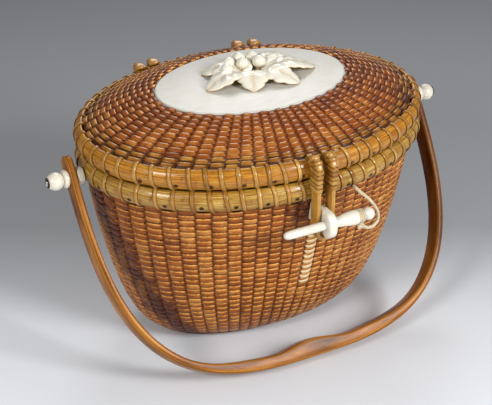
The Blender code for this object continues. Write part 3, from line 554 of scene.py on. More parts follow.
def even_stops(dense, gap, count, start=0.0, end=1.0):
    """Stops at even steps of a dense line's length, between two shares of it."""
    lengths = [0.0]
    for here, there in zip(dense, dense[1:]):
        lengths.append(lengths[-1] + gap(here, there))
    stops = []
    spot = 0
    for k in range(count):
        target = lengths[-1] * (start + (end - start) * k / (count - 1))
        while spot < len(dense) - 2 and lengths[spot + 1] < target:
            spot += 1
        part = (target - lengths[spot]) / (lengths[spot + 1] - lengths[spot])
        stops.append(dense[spot].lerp(dense[spot + 1], min(part, 1.0)))
    return stops


def front_gap(here, there):
    return hypot(there.y - here.y, there.z - here.z)


def even_rings(wall, count, start=0.0, end=1.0):
    """Rings of a wall at even steps along its front, between two shares of its length."""
    dense = [wall(k / FINE_STEPS) for k in range(FINE_STEPS + 1)]
    return even_stops(dense, front_gap, count, start, end)


def wall_slope(rings, k):
    """How a wall's ovals change from ring to ring, for its surface direction."""
    return (rings[min(k + 1, len(rings) - 1)] - rings[max(k - 1, 0)]).normalized()


def wall_point(ring, slope, angle, depth=0.0):
    """Point at a depth under a wall's face, with the directions out of it and up along it."""
    around = Vector((-ring.x * sin(angle), ring.y * cos(angle), 0.0)).normalized()
    rising = Vector((slope.x * cos(angle), slope.y * sin(angle), slope.z)).normalized()
    outward = around.cross(rising).normalized()
    return oval(ring.x, ring.y, angle, ring.z) - outward * depth, outward, rising


body_front = even_rings(body_ring, 80)
print("body wall", round(body_front[0].y, 4), "to", round(body_front[-1].y, 4), "m from the middle")

# %% [markdown]
# ## A ribbon that follows a guide
#
# Weavers, staves, lashing and the wraps of the clasp are all flat strips of cane that follow a
# path. One Geometry Nodes tree makes them all. It gets a guide of points joined by edges, moves
# each point in and out like a wave, narrows the strip where it dives between two staves, and
# draws a section along the path that can be a flat lens or nearly a rectangle. Each point of the
# guide carries its own directions and tone as attributes, and they stay on the mesh for the
# material.

# %% Ribbon tree
NUMBER = "NodeSocketFloat"
WAVE_STEEPNESS = 2.0
ribbon, given, result = new_tree(
    "Ribbon along a guide", "GeometryNodeTree",
    [("Guide", "NodeSocketGeometry", None), ("Width", NUMBER, 0.0038),
     ("Thickness", NUMBER, 0.0007), ("Swing", NUMBER, 0.0), ("Pinch", NUMBER, 0.0),
     ("Roundness", NUMBER, 0.7), ("Sides", "NodeSocketInt", 8),
     ("Material", "NodeSocketMaterial", None)],
    [("Ribbon", "NodeSocketGeometry")])


def guide_value(tree, name, data_type="FLOAT"):
    return output(tree, "GeometryNodeInputNamedAttribute", {"Name": name}, data_type=data_type)


def store(tree, geometry, name, value):
    inputs = {"Geometry": geometry, "Name": name, "Value": value}
    return output(tree, "GeometryNodeStoreNamedAttribute", inputs, data_type="FLOAT")


def squared(tree, value, power):
    """Push a value between -1 and 1 towards the ends, where the power is below 1."""
    grown = maths(tree, "POWER", maths(tree, "ABSOLUTE", value), power)
    return times(tree, maths(tree, "SIGN", value), grown)


def finish_geometry(tree, geometry, material):
    """Shade smooth, make instances real and set the material."""
    geometry = output(tree, "GeometryNodeSetShadeSmooth", {"Geometry": geometry})
    geometry = output(tree, "GeometryNodeRealizeInstances", {"Geometry": geometry})
    return output(tree, "GeometryNodeSetMaterial", {"Geometry": geometry, "Material": material})


path = output(ribbon, "GeometryNodeMeshToCurve", {"Mesh": given["Guide"]})
wave = maths(ribbon, "COSINE", times(ribbon, guide_value(ribbon, "phase"), pi))
lift = maths(ribbon, "TANH", times(ribbon, wave, WAVE_STEEPNESS))
path = store(ribbon, path, "lift", lift)
shift = output(ribbon, "ShaderNodeVectorMath",
               {0: guide_value(ribbon, "bulge", "FLOAT_VECTOR"),
                "Scale": times(ribbon, lift, given["Swing"])}, operation="SCALE")
path = output(ribbon, "GeometryNodeSetPosition", {"Geometry": path, "Offset": shift})
path = add(ribbon, "GeometryNodeSetCurveNormal", {"Curve": path}, mode="FREE")
feed(ribbon, path.inputs["Normal"], guide_value(ribbon, "outward", "FLOAT_VECTOR"))

section = output(ribbon, "GeometryNodeCurvePrimitiveCircle",
                 {"Resolution": given["Sides"], "Radius": 1.0})
spot = add(ribbon, "ShaderNodeSeparateXYZ", {0: output(ribbon, "GeometryNodeInputPosition")})
through = squared(ribbon, spot.outputs["X"], given["Roundness"])
across = squared(ribbon, spot.outputs["Y"], given["Roundness"])
section = store(ribbon, section, "across", across)
half_thickness = maths(ribbon, "DIVIDE", given["Thickness"], 2.0)
half_width = maths(ribbon, "DIVIDE", given["Width"], 2.0)
spread = output(ribbon, "ShaderNodeCombineXYZ",
                {"X": times(ribbon, through, half_thickness),
                 "Y": times(ribbon, across, half_width)})
section = output(ribbon, "GeometryNodeSetPosition", {"Geometry": section, "Position": spread})

flank = maths(ribbon, "SUBTRACT", 1.0, times(ribbon, lift, lift))
flank = times(ribbon, flank, flank)
narrowed = maths(ribbon, "SUBTRACT", 1.0, times(ribbon, flank, given["Pinch"]))
size = times(ribbon, narrowed, guide_value(ribbon, "share"))
strip = output(ribbon, "GeometryNodeCurveToMesh",
               {"Curve": path.outputs[0], "Profile Curve": section, "Scale": size,
                "Fill Caps": True})
feed(ribbon, result["Ribbon"], finish_geometry(ribbon, strip, given["Material"]))
print("ribbon tree has", len(ribbon.nodes), "nodes")

# %% Guides and plain meshes
class Guide:
    """Paths for the ribbon tree, with what each point needs to know."""

    def __init__(self):
        self.points = []
        self.edges = []
        self.values = {name: [] for name in ("outward", "bulge", "phase", "share", "tone")}

    def add_path(self, stops, closed=False):
        """Each stop is (place, outward, bulge, phase, share, tone)."""
        first = len(self.points)
        for place, *values in stops:
            self.points.append(place)
            for name, value in zip(self.values, values):
                self.values[name].append(value)
        last = len(self.points) - 1
        self.edges += [(k, k + 1) for k in range(first, last)]
        if closed:
            self.edges.append((last, first))

    def build(self, name):
        mesh = bpy.data.meshes.new(name)
        mesh.from_pydata(self.points, self.edges, [])
        for label, values in self.values.items():
            if label in ("outward", "bulge"):
                attribute = mesh.attributes.new(label, "FLOAT_VECTOR", "POINT")
                attribute.data.foreach_set("vector", [x for value in values for x in value])
            else:
                attribute = mesh.attributes.new(label, "FLOAT", "POINT")
                attribute.data.foreach_set("value", values)
        guide = bpy.data.objects.new(name, mesh)
        bpy.context.scene.collection.objects.link(guide)
        return guide


def still(place, outward, tone=0.5, share=1.0):
    """Stop of a guide that has no wave in it."""
    return place, outward, (0.0, 0.0, 0.0), 0.0, share, tone


def outside_out(mesh):
    """Turn a closed mesh's faces outwards."""
    shape = bmesh.new()
    shape.from_mesh(mesh)
    bmesh.ops.recalc_face_normals(shape, faces=shape.faces)
    shape.to_mesh(mesh)
    shape.free()


def grow(name, guide, tree, values):
    """Run a Geometry Nodes tree on a guide and keep the result as a plain mesh."""
    holder = guide.build(name)
    modifier = holder.modifiers.new(tree.name, "NODES")
    modifier.node_group = tree
    for socket in tree.interface.items_tree:
        if socket.in_out == "INPUT" and socket.name in values:
            modifier[socket.identifier] = values[socket.name]
    depsgraph = bpy.context.evaluated_depsgraph_get()
    mesh = bpy.data.meshes.new_from_object(holder.evaluated_get(depsgraph))
    bpy.data.objects.remove(holder, do_unlink=True)
    outside_out(mesh)
    mesh.name = name
    piece = bpy.data.objects.new(name, mesh)
    bpy.context.scene.collection.objects.link(piece)
    print(name, "has", len(mesh.polygons), "faces")
    return piece


def settle(piece, body, slot, *nodes, material=None):
    """Let a finished piece ride on a body and stand for CAD nodes; the slot is not used."""
    if material:
        piece.data.materials.append(material)
    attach(piece, body)
    if nodes:
        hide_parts(*nodes)
    return piece


print("guides ready")

# %% [markdown]
# ## Cane
#
# Old cane is a warm honey brown under shellac. Fine fibres run along each strip, and no two strips
# have quite the same tone. Light and shade are painted into the colour as well: the edges and the
# places where a strip dives under a stave are painted darker as shade, and the upper edge is painted
# pale as a highlight. The fibres are noise that is stretched along the strip, and the group below
# puts out a colour, a roughness and a height, so that weave, rims and wraps can each mix their own
# finish.

# %% Fibre group
COLOUR = "NodeSocketColor"
SURFACE = [("Colour", COLOUR), ("Roughness", NUMBER), ("Height", NUMBER)]
fibres, given, result = new_tree(
    "Cane fibres", "ShaderNodeTree",
    [("Dark", COLOUR, None), ("Middle", COLOUR, None), ("Light", COLOUR, None),
     ("Tone", NUMBER, 0.5), ("Across", NUMBER, 0.0), ("Lift", NUMBER, 1.0),
     ("Edge Dark", NUMBER, 0.5), ("Dive Dark", NUMBER, 0.9), ("Upper Worn", NUMBER, 0.9),
     ("Dive Start", NUMBER, 0.55)], SURFACE)

# The noises are read along the strip or in the object's own place.
strand = output(fibres, "ShaderNodeCombineXYZ",
                {"X": times(fibres, given["Across"], 3.0), "Y": times(fibres, given["Tone"], 71.0),
                 "Z": times(fibres, given["Lift"], 0.5)})
streaks = noise(fibres, strand, 2.6, 5.0)
place = object_place(fibres)
flecks = noise(fibres, place, 700.0)
clouds = noise(fibres, place, 45.0)
patches = noise(fibres, place, 170.0)
glints = noise(fibres, place, 1100.0, 2.0)

# A strip's mood, dark to light, gives its base colour; streaks and flecks darken it.
mood = maths(fibres, "ADD", given["Tone"], between(fibres, clouds, 0.35, 0.65, -0.10, 0.10))
mood = maths(fibres, "ADD", mood, between(fibres, patches, 0.35, 0.65, -0.12, 0.12))
low_half = mix_colour(fibres, between(fibres, mood, 0.0, 0.5), given["Dark"], given["Middle"])
base = mix_colour(fibres, between(fibres, mood, 0.5, 1.0), low_half, given["Light"])
base = mix_colour(fibres, between(fibres, streaks, 0.4, 0.65, 0.0, 0.5), base, given["Dark"])
base = mix_colour(fibres, between(fibres, flecks, 0.60, 0.72, 0.0, 0.6), base, given["Dark"])

# Painted light: the upper edge of a strip is painted pale as highlight, its lower part darker as shade.
worn = between(fibres, given["Across"], -0.50, -0.90, 0.0, given["Upper Worn"])
worn = times(fibres, worn, between(fibres, flecks, 0.34, 0.50))
worn = times(fibres, worn, between(fibres, mood, 0.05, 0.35))
base = mix_colour(fibres, worn, base, given["Light"])
under = between(fibres, given["Across"], -0.2, 0.9, 0.0, times(fibres, given["Upper Worn"], 0.5))
base = mix_colour(fibres, under, base, given["Dark"])

# Painted shade along both edges and where the strip dives under a stave, with small specks left
# light in it as painted glints.
edge = maths(fibres, "POWER", maths(fibres, "ABSOLUTE", given["Across"]), 4.0)
edge = times(fibres, edge, given["Edge Dark"])
dive_end = maths(fibres, "SUBTRACT", given["Dive Start"], 0.5)
dive = times(fibres, between(fibres, given["Lift"], given["Dive Start"], dive_end),
             given["Dive Dark"])
dive = times(fibres, dive, between(fibres, glints, 0.56, 0.66, 1.0, 0.2))
shade = maths(fibres, "MAXIMUM", edge, dive)
feed(fibres, result["Colour"], mix_colour(fibres, shade, base, given["Dark"]))
feed(fibres, result["Roughness"], between(fibres, streaks, 0.3, 0.75, 0.32, 0.55))
feed(fibres, result["Height"], streaks)
print("fibre group has", len(fibres.nodes), "nodes")

# %% Cane materials
def cane_material(name, dark, middle, light, coat=0.35, coat_roughness=0.25, bump=0.25,
                  **amounts):
    """Cane from the fibre group; amounts are named after its inputs, such as edge_dark."""
    material, tree, shader = new_material(name)
    inputs = {"Dark": dark, "Middle": middle, "Light": light, "Tone": attribute(tree, "tone"),
              "Across": attribute(tree, "across"), "Lift": attribute(tree, "lift")}
    inputs.update({key.replace("_", " ").title(): value for key, value in amounts.items()})
    group = add(tree, "ShaderNodeGroup", inputs, node_tree=fibres)
    finish_from_group(tree, shader, group, bump,
                      {"Specular IOR Level": 0.15, "Coat Weight": coat,
                       "Coat Roughness": coat_roughness})
    return material


body_cane = cane_material("body cane", (0.095, 0.019, 0.003), (0.38, 0.102, 0.009),
                          (0.80, 0.41, 0.100), coat=0.22, coat_roughness=0.10, bump=0.6,
                          edge_dark=0.1, dive_start=0.45)
lid_cane = cane_material("lid cane", (0.085, 0.014, 0.003), (0.40, 0.104, 0.007),
                         (0.84, 0.38, 0.065), coat=0.35, coat_roughness=0.08, bump=0.6,
                         edge_dark=0.1, dive_start=0.75)
golden_cane = cane_material("golden cane", (0.07, 0.016, 0.002), (0.42, 0.150, 0.010),
                            (0.76, 0.40, 0.070), coat=0.35, coat_roughness=0.10, bump=0.6,
                            edge_dark=0.3, dive_start=0.9)
cream_cane = cane_material("cream cane", (0.26, 0.12, 0.04), (0.66, 0.48, 0.24),
                           (0.84, 0.70, 0.43), coat=0.3, dive_dark=0.6)
# The staves are painted nearly black, as painted shade in the gaps between the strips.
shaded_staves = cane_material("staves in painted shade", (0.020, 0.006, 0.002), (0.070, 0.024, 0.007),
                           (0.13, 0.050, 0.015), coat=0.0, dive_dark=0.0, upper_worn=0.0)
# Lashing is painted dark along its edges as shade beside each band.
lash_cane = cane_material("lashing cane", (0.055, 0.013, 0.001), (0.42, 0.185, 0.022),
                          (0.72, 0.42, 0.105), coat=0.5, coat_roughness=0.10, dive_dark=0.0,
                          edge_dark=1.0, upper_worn=0.0)
print("cane materials:", body_cane.name, lid_cane.name, shaded_staves.name, lash_cane.name)

# %% [markdown]
# ## The woven body
#
# Each row is one strip of cane that goes over one stave and under the next, and the next row
# does the opposite. A row is a closed guide with a few points for each stave, and its phase
# counts staves, so that the ribbon tree's wave rises over every second stave. Rows are pressed
# close together, so the strips over one stave nearly touch and hide the strips below them. The
# rows are dealt out to three pieces, because one mesh would have too many triangles. The staves
# are plain flat strips in the middle of the wall.

# %% Body weave
ROW_POINTS = 8
BODY_ROWS = 57
BODY_ROW_START = 0.012
BODY_ROW_END = 0.985
BODY_STRIP_WIDTH = 0.0052
STRIP_THICKNESS = 0.0014
SWING = 0.0009
PINCH = 0.50
SAG_SHARE = 0.95
UNEVEN = 0.00022
STAVE_RINGS = 24
STAVE_THICKNESS = 0.0007
BODY_STAVE_WIDTH = 0.0108
RIB_STAVE = 45
UNDER_RIM_HEIGHT = BODY_RIM_FOOT - 0.0015
# Painted shade on the weave: a band down the left front, and the clasp's shadow beside it.
LEFT_SHADE_STAVE = 30.0
LEFT_SHADE_TOP = 0.121
LEFT_SHADE_DRIFT = 38
CLASP_SHADOW_STAVE = RIB_STAVE - 1.1
CLASP_SHADOW_FOOT = 0.106
chance = Random(11)


def nearness(value, middle, reach):
    """One at a middle value, falling to zero at a distance from it."""
    return max(0.0, 1.0 - abs(value - middle) / reach)


def painted_shade(stave, height):
    """Painted shade taken off the strips' tone: under the rim, down the left front, and the clasp's shadow
    beside it.
    """
    if height > UNDER_RIM_HEIGHT:
        return 0.5
    middle = LEFT_SHADE_STAVE + (LEFT_SHADE_TOP - height) * LEFT_SHADE_DRIFT
    left = 0.55 * nearness(stave, middle, 1.9)
    high = min(1.0, max(0.0, (height - CLASP_SHADOW_FOOT) / 0.012))
    return max(left, 0.5 * nearness(stave, CLASP_SHADOW_STAVE, 1.4) * high)


def row_guide(rings, rows, staves, start_share, stave_tones, shaded=False):
    """Guide for some rows of a wall; a row's number decides over which staves it goes."""
    guide = Guide()
    angles = even_angles(staves * ROW_POINTS, start_share * ROW_POINTS)
    for row in rows:
        slope = wall_slope(rings, row)
        row_tone = 0.46 + chance.uniform(-0.08, 0.08)
        tones = [row_tone + stave_tones[k] + chance.uniform(-0.08, 0.08) for k in range(staves)]
        if shaded:
            tones = [tone - painted_shade(k, rings[row].z) for k, tone in enumerate(tones)]
        shifts = [chance.uniform(-UNEVEN, UNEVEN) for _ in range(staves)]
        shares = [chance.uniform(0.86, 1.06) for _ in range(staves)]
        stops = []
        for k, angle in enumerate(angles):
            place, outward, rising = wall_point(rings[row], slope, angle, WALL_HALF)
            stave = (k + ROW_POINTS // 2) // ROW_POINTS % staves
            stops.append((place + rising * shifts[stave], outward, outward - rising * SAG_SHARE,
                          k / ROW_POINTS + row, shares[stave], tones[stave]))
        guide.add_path(stops, closed=True)
    return guide


def stave_guide(rings, staves, start_share):
    """Guide for the staves, narrower where they draw together."""
    guide = Guide()
    for angle in even_angles(staves, start_share):
        tone = chance.uniform(0.2, 0.8)
        stops = []
        for k, ring in enumerate(rings):
            place, outward, _ = wall_point(ring, wall_slope(rings, k), angle, WALL_HALF)
            around = hypot(ring.x * sin(angle), ring.y * cos(angle))
            rim = hypot(RIM_HALF_LENGTH * sin(angle), RIM_HALF_WIDTH * cos(angle))
            stops.append(still(place, outward, tone, around / rim))
        guide.add_path(stops)
    return guide


body_tones = [chance.uniform(-0.08, 0.08) for _ in range(BODY_STAVES)]
body_rows = even_rings(body_ring, BODY_ROWS, BODY_ROW_START, BODY_ROW_END)
STRIP = {"Width": BODY_STRIP_WIDTH, "Thickness": STRIP_THICKNESS, "Swing": SWING,
         "Pinch": PINCH, "Roundness": 0.6, "Material": body_cane}
for number, name in enumerate(("body_weavers_first", "body_weavers_second", "body_weavers_third")):
    guide = row_guide(body_rows, range(number, BODY_ROWS, 3), BODY_STAVES,
                      BODY_STAVE_START_SHARE, body_tones, shaded=True)
    settle(grow(name, guide, ribbon, STRIP), "basket", "body_cane", "body_weave")

stave_rings = even_rings(body_ring, STAVE_RINGS)
stave_rings.append(stave_rings[-1] + Vector((0.0, 0.0, BODY_RIM_TOP - BODY_RIM_FOOT)))
guide = stave_guide(stave_rings, BODY_STAVES, BODY_STAVE_START_SHARE)
STAVE = {"Width": BODY_STAVE_WIDTH, "Thickness": STAVE_THICKNESS, "Material": shaded_staves}
settle(grow("body_staves", guide, ribbon, STAVE), "basket", "body_cane", "body_weave")

# %% [markdown]
# ## Cream ribs under the clasp
#
# Below the clasp one stave carries short turns of cream cane over the brown ones. Each is an open
# path over that stave, a little further out than the row it covers, and the same ribbon tree
# draws it.

# %% Cream ribs
RIB_LOWEST = 0.0530
RIB_HIGHEST = 0.0985
RIB_WIDTH = 0.0030
RIB_PROUD = 0.0008
RIB_REACH = 4
RIB_SHARE = 0.95

guide = Guide()
rib_angles = even_angles(BODY_STAVES * ROW_POINTS, BODY_STAVE_START_SHARE * ROW_POINTS)
for row, ring in enumerate(body_rows):
    if RIB_LOWEST < ring.z < RIB_HIGHEST and (row + RIB_STAVE) % 2 == 0:
        stops = []
        for k in range(-RIB_REACH, RIB_REACH + 1):
            angle = rib_angles[RIB_STAVE * ROW_POINTS + k]
            place, outward, rising = wall_point(ring, wall_slope(body_rows, row), angle, WALL_HALF)
            bulge = (outward - rising * SAG_SHARE) * (1 + RIB_PROUD / SWING)
            stops.append((place, outward, bulge, k / ROW_POINTS, RIB_SHARE,
                          chance.uniform(0.5, 0.9)))
        guide.add_path(stops)
settle(grow("cream_ribs", guide, ribbon, {**STRIP, "Width": RIB_WIDTH, "Material": cream_cane}),
       "basket", "body_cane")

# %% [markdown]
# ## The woven lid
#
# The lid is woven in the same way, with redder cane and rows that run round the plaque. Its
# staves draw together towards the plaque, bend in under it and end in the board's groove. The
# first rows above the rim are of paler cane.

# %% Lid weave
LID_ROWS = 22
LID_ROW_START = 0.04
LID_ROW_END = 0.98
LID_STRIP = {**STRIP, "Roundness": 0.45, "Swing": 0.00065, "Pinch": 0.30, "Thickness": 0.0011}
LID_STRIP_WIDTH = 0.0045
GOLDEN_STRIP_WIDTH = 0.0036
GOLDEN_ROWS = 4
LID_STAVE_RINGS = 12
LID_STAVE_WIDTH = 0.0098
# Where the staves turn in under the plaque: an oval, how far outside it they pass, and a height.
STAVE_TUCK = ((COLLAR_HALF_LENGTH, COLLAR_HALF_WIDTH, 0.0006, 0.1775),
              (BOARD_HALF_LENGTH, BOARD_HALF_WIDTH, 0.0004, 0.1750),
              (BOARD_HALF_LENGTH, BOARD_HALF_WIDTH, -0.0015, BOARD_GROOVE))

# The lid's staves on its right side get a darker tone, painted shade on that side.
lid_tones = [chance.uniform(-0.10, 0.10) - 0.20 * max(0.0, cos(angle + 0.2))
             for angle in even_angles(LID_STAVES, LID_STAVE_START_SHARE)]
lid_rows = even_rings(lid_ring, LID_ROWS, LID_ROW_START, LID_ROW_END)
for name, rows, cane, width in (
        ("lid_weavers_golden", range(GOLDEN_ROWS), golden_cane, GOLDEN_STRIP_WIDTH),
        ("lid_weavers_even", range(GOLDEN_ROWS, LID_ROWS, 2), lid_cane, LID_STRIP_WIDTH),
        ("lid_weavers_odd", range(GOLDEN_ROWS + 1, LID_ROWS, 2), lid_cane, LID_STRIP_WIDTH)):
    guide = row_guide(lid_rows, rows, LID_STAVES, LID_STAVE_START_SHARE, lid_tones)
    settle(grow(name, guide, ribbon, {**LID_STRIP, "Width": width, "Material": cane}),
           "lid", "lid_cane", "lid_weave")

lid_stave_rings = even_rings(lid_ring, LID_STAVE_RINGS)
lid_stave_rings.insert(0, lid_stave_rings[0] - Vector((0.0, 0.0, LID_RIM_TOP - LID_RIM_FOOT)))
lid_stave_rings[-1:] = [Vector((a + out, b + out, z)) for a, b, out, z in STAVE_TUCK]
guide = stave_guide(lid_stave_rings, LID_STAVES, LID_STAVE_START_SHARE)
settle(grow("lid_staves", guide, ribbon, {**STAVE, "Width": LID_STAVE_WIDTH}),
       "lid", "lid_cane", "lid_weave")

# %% [markdown]
# ## The rims
#
# Two hoops of half-round rattan hold the wall's edge between them, one outside and one inside.
# Each is a D-shaped section carried round the oval. The sections stand close together, so the
# hoop looks round where the CAD hoop has flat facets. Rattan is cane's thick core with its skin
# on: golden, glossy, with long fine streaks and a few darker rings where leaves grew. A thin
# filler cane covers the wall's edge between the hoops, where the seam opens.

# %% Rattan material
RING_BROWN = (0.16, 0.045, 0.006)
SPECK_BROWN = (0.14, 0.045, 0.008)


def rattan_material(name, dark, middle, light):
    material, tree, shader = new_material(name)
    streaks = noise(tree, scaled(tree, uv_place(tree), (8.0, 7.0, 1.0)), 4.0, 6.0)
    joints = noise(tree, scaled(tree, uv_place(tree), (60.0, 1.0, 1.0)), 3.0, 2.0)
    patches = noise(tree, object_place(tree), 60.0)
    specks = noise(tree, object_place(tree), 520.0, 2.0)
    golden = ramp(tree, streaks, [(0.36, dark), (0.48, middle), (0.62, light)])
    for spots, low, high, tone in ((patches, 0.45, 0.75, dark), (joints, 0.60, 0.70, RING_BROWN),
                                   (specks, 0.62, 0.75, SPECK_BROWN)):
        golden = mix_colour(tree, between(tree, spots, low, high, 0.0, 0.6), golden, tone)
    finish_surface(tree, shader, golden, between(tree, streaks, 0.3, 0.7, 0.28, 0.48), streaks,
                   0.5, {"Specular IOR Level": 0.3, "Coat Weight": 0.5, "Coat Roughness": 0.13},
                   depth=0.0003)
    return material


body_rattan = rattan_material("body rim rattan", (0.25, 0.104, 0.010), (0.36, 0.185, 0.021),
                              (0.55, 0.355, 0.078))
lid_rattan = rattan_material("lid rim rattan", (0.26, 0.081, 0.0035), (0.395, 0.148, 0.005),
                             (0.57, 0.27, 0.015))
print("rattan:", body_rattan.name, lid_rattan.name)

# %% Hoops
HOOP_SECTIONS = 224
HOOP_POINTS = 12
HOOP_POWER = 1.95
HOOP_HEIGHT = BODY_RIM_TOP - BODY_RIM_FOOT
FILLER_HALF_HEIGHT = 0.0012
FILLER_POINTS = 10
rim_angles = even_angles(HOOP_SECTIONS)
rim_cane = {"basket": body_rattan, "lid": lid_rattan}


def round_share(turn):
    """Across and up shares of a D-shaped section at an angle from -90 to 90 degrees."""
    across = 1.0 - max(cos(turn), 0.0) ** (2 / HOOP_POWER)
    return across, 0.5 + 0.5 * pushed(sin(turn), 2 / HOOP_POWER)


def hoop_section(angle, inset, depth, foot, height, inner=False, proud=0.0):
    """D-shaped section with its flat side to the wall, and a distance it stands proud."""
    section = []
    for k in range(HOOP_POINTS + 1):
        across, up = round_share(pi * (k / HOOP_POINTS - 0.5))
        across = 1.0 - across if inner else across
        reach = inset + depth * across + (proud if inner else -proud) * abs(cos(pi * (up - 0.5)))
        section.append(oval(RIM_HALF_LENGTH - reach, RIM_HALF_WIDTH - reach, angle,
                            foot + height * up + proud * (2 * up - 1)))
    return section


def hoop(name, body, node, *sizes, inner=False):
    sections = [hoop_section(angle, *sizes, inner=inner) for angle in rim_angles]
    piece = skin(name, sections, looped=True)
    return settle(piece, body, "rim_rattan", node, material=rim_cane[body])


def filler(name, body, height):
    """Thin round cane between the two hoops, where the wall's edge would show."""
    middle = (OUTER_HOOP_DEPTH + INNER_HOOP_INSET) / 2
    radius = (INNER_HOOP_INSET - OUTER_HOOP_DEPTH) / 2
    sections = []
    for angle in rim_angles:
        section = []
        for turn in full_turn(FILLER_POINTS):
            inset = middle + radius * cos(turn)
            section.append(oval(RIM_HALF_LENGTH - inset, RIM_HALF_WIDTH - inset, angle,
                                height + FILLER_HALF_HEIGHT * sin(turn)))
        sections.append(section)
    return settle(skin(name, sections, looped=True), body, "rim_rattan", material=lash_cane)


for label, body, foot, inner_height in (
        ("body", "basket", BODY_RIM_FOOT, HOOP_HEIGHT),
        ("lid", "lid", LID_RIM_FOOT, LID_INNER_HOOP_HEIGHT)):
    hoop(label + "_hoop_outside", body, label + "_rim_outer", 0.0, OUTER_HOOP_DEPTH, foot,
         HOOP_HEIGHT)
    hoop(label + "_hoop_inside", body, label + "_rim_inner", INNER_HOOP_INSET,
         INNER_HOOP_DEPTH, foot, inner_height, inner=True)
filler("body_rim_filler", "basket", BODY_RIM_TOP - FILLER_HALF_HEIGHT)
filler("lid_rim_filler", "lid", LID_RIM_FOOT + FILLER_HALF_HEIGHT)
print("hoops have", HOOP_SECTIONS, "sections")

# %% [markdown]
# ## Lashing
#
# One band of cane goes round both hoops between each pair of staves and binds them to the wall.
# Each band is a closed guide round the two D-shaped sections, and the ribbon tree turns it into
# a strip with round edges. The bands stand proud of the hoops and lean a little to one side.

# %% Lashing bands
LASH_WIDTH = 0.0031
LASH_THICKNESS = 0.0010
LASH_PROUD = LASH_THICKNESS / 2 - 0.0001
LASH_SLANT = 0.028


def outwards(path, across):
    """Directions out of a closed path, which lie across it and a given direction."""
    return [(path[(k + 1) % len(path)] - path[k - 1]).cross(across).normalized()
            for k in range(len(path))]


def lash_guide(start_share, count, foot, inner_height):
    """Closed paths round outer and inner hoop, one between each pair of staves."""
    guide = Guide()
    for angle in even_angles(count, start_share):
        slant = LASH_SLANT + chance.uniform(-0.012, 0.012)
        angle += chance.uniform(-0.006, 0.006)
        outer = []
        inner = []
        for k in range(HOOP_POINTS + 1):
            lean = angle + slant * (0.5 - k / HOOP_POINTS)
            outer.append(hoop_section(lean, 0.0, OUTER_HOOP_DEPTH, foot, HOOP_HEIGHT,
                                      proud=LASH_PROUD)[k])
            inner.append(hoop_section(lean, INNER_HOOP_INSET, INNER_HOOP_DEPTH, foot, inner_height,
                                      inner=True, proud=LASH_PROUD)[k])
        path = outer + inner[::-1]
        around = Vector((-RIM_HALF_LENGTH * sin(angle), RIM_HALF_WIDTH * cos(angle), 0.0))
        tone = chance.uniform(0.4, 0.85)
        guide.add_path([still(place, outward, tone)
                        for place, outward in zip(path, outwards(path, around.normalized()))],
                       closed=True)
    return guide


LASH = {"Width": LASH_WIDTH, "Thickness": LASH_THICKNESS, "Roundness": 0.8,
        "Material": lash_cane}
guide = lash_guide(BODY_STAVE_START_SHARE + 0.45, BODY_STAVES, BODY_RIM_FOOT, HOOP_HEIGHT)
settle(grow("body_rim_lashing", guide, ribbon, LASH), "basket", "rim_rattan")
guide = lash_guide(LID_STAVE_START_SHARE - 0.5, LID_STAVES, LID_RIM_FOOT, LID_INNER_HOOP_HEIGHT)
settle(grow("lid_rim_lashing", guide, ribbon, LASH), "lid", "rim_rattan")

# %% [markdown]
# ## Nails in the rims
#
# Small dark nails go through the hoops at every second stave, near the lower edge. They are many
# and alike, so a second Geometry Nodes tree sets one low dome on each guide point and turns it
# to face out of the rim.

# %% Nail tree
nails, given, result = new_tree(
    "Nail heads on points", "GeometryNodeTree",
    [("Guide", "NodeSocketGeometry", None), ("Radius", NUMBER, 0.001),
     ("Height", NUMBER, 0.0005), ("Material", "NodeSocketMaterial", None)],
    [("Nails", "NodeSocketGeometry")])
dome = output(nails, "GeometryNodeMeshUVSphere", {"Segments": 12, "Rings": 8, "Radius": 1.0})
low_dome = output(nails, "ShaderNodeCombineXYZ",
                  {"X": given["Radius"], "Y": given["Radius"], "Z": given["Height"]})
dome = output(nails, "GeometryNodeTransform", {"Geometry": dome, "Scale": low_dome})
facing = output(nails, "FunctionNodeAlignRotationToVector",
                {"Vector": guide_value(nails, "outward", "FLOAT_VECTOR")}, axis="Z")
heads = output(nails, "GeometryNodeInstanceOnPoints",
               {"Points": given["Guide"], "Instance": dome, "Rotation": facing})
feed(nails, result["Nails"], finish_geometry(nails, heads, given["Material"]))
print("nail tree has", len(nails.nodes), "nodes")

# %% Rim nails
NAIL_RADIUS = 0.0015
NAIL_HEIGHT = 0.0005
NAIL_UP_TURN = radians(-24)


def metal(name, dark, light, roughness):
    """Metal with a thin uneven tarnish."""
    material, tree, shader = new_material(name)
    tarnish = noise(tree, object_place(tree), 900.0, 4.0)
    feed_all(tree, shader,
             {"Base Color": ramp(tree, tarnish, [(0.35, dark), (0.7, light)]), "Metallic": 1.0,
              "Roughness": between(tree, tarnish, 0.3, 0.7, roughness + 0.2, roughness)})
    return material


dark_brass = metal("tarnished brass", (0.035, 0.022, 0.012), (0.13, 0.085, 0.04), 0.35)


def nail_guide(angles, foot):
    guide = Guide()
    across, up = round_share(NAIL_UP_TURN)
    reach = OUTER_HOOP_DEPTH * across
    for angle in angles:
        place = oval(RIM_HALF_LENGTH - reach, RIM_HALF_WIDTH - reach, angle,
                     foot + HOOP_HEIGHT * up)
        level = Vector((cos(angle) / RIM_HALF_LENGTH, sin(angle) / RIM_HALF_WIDTH, 0.0))
        outward = level.normalized() * cos(NAIL_UP_TURN) + Vector((0.0, 0.0, sin(NAIL_UP_TURN)))
        guide.add_path([still(place, outward)])
    return guide


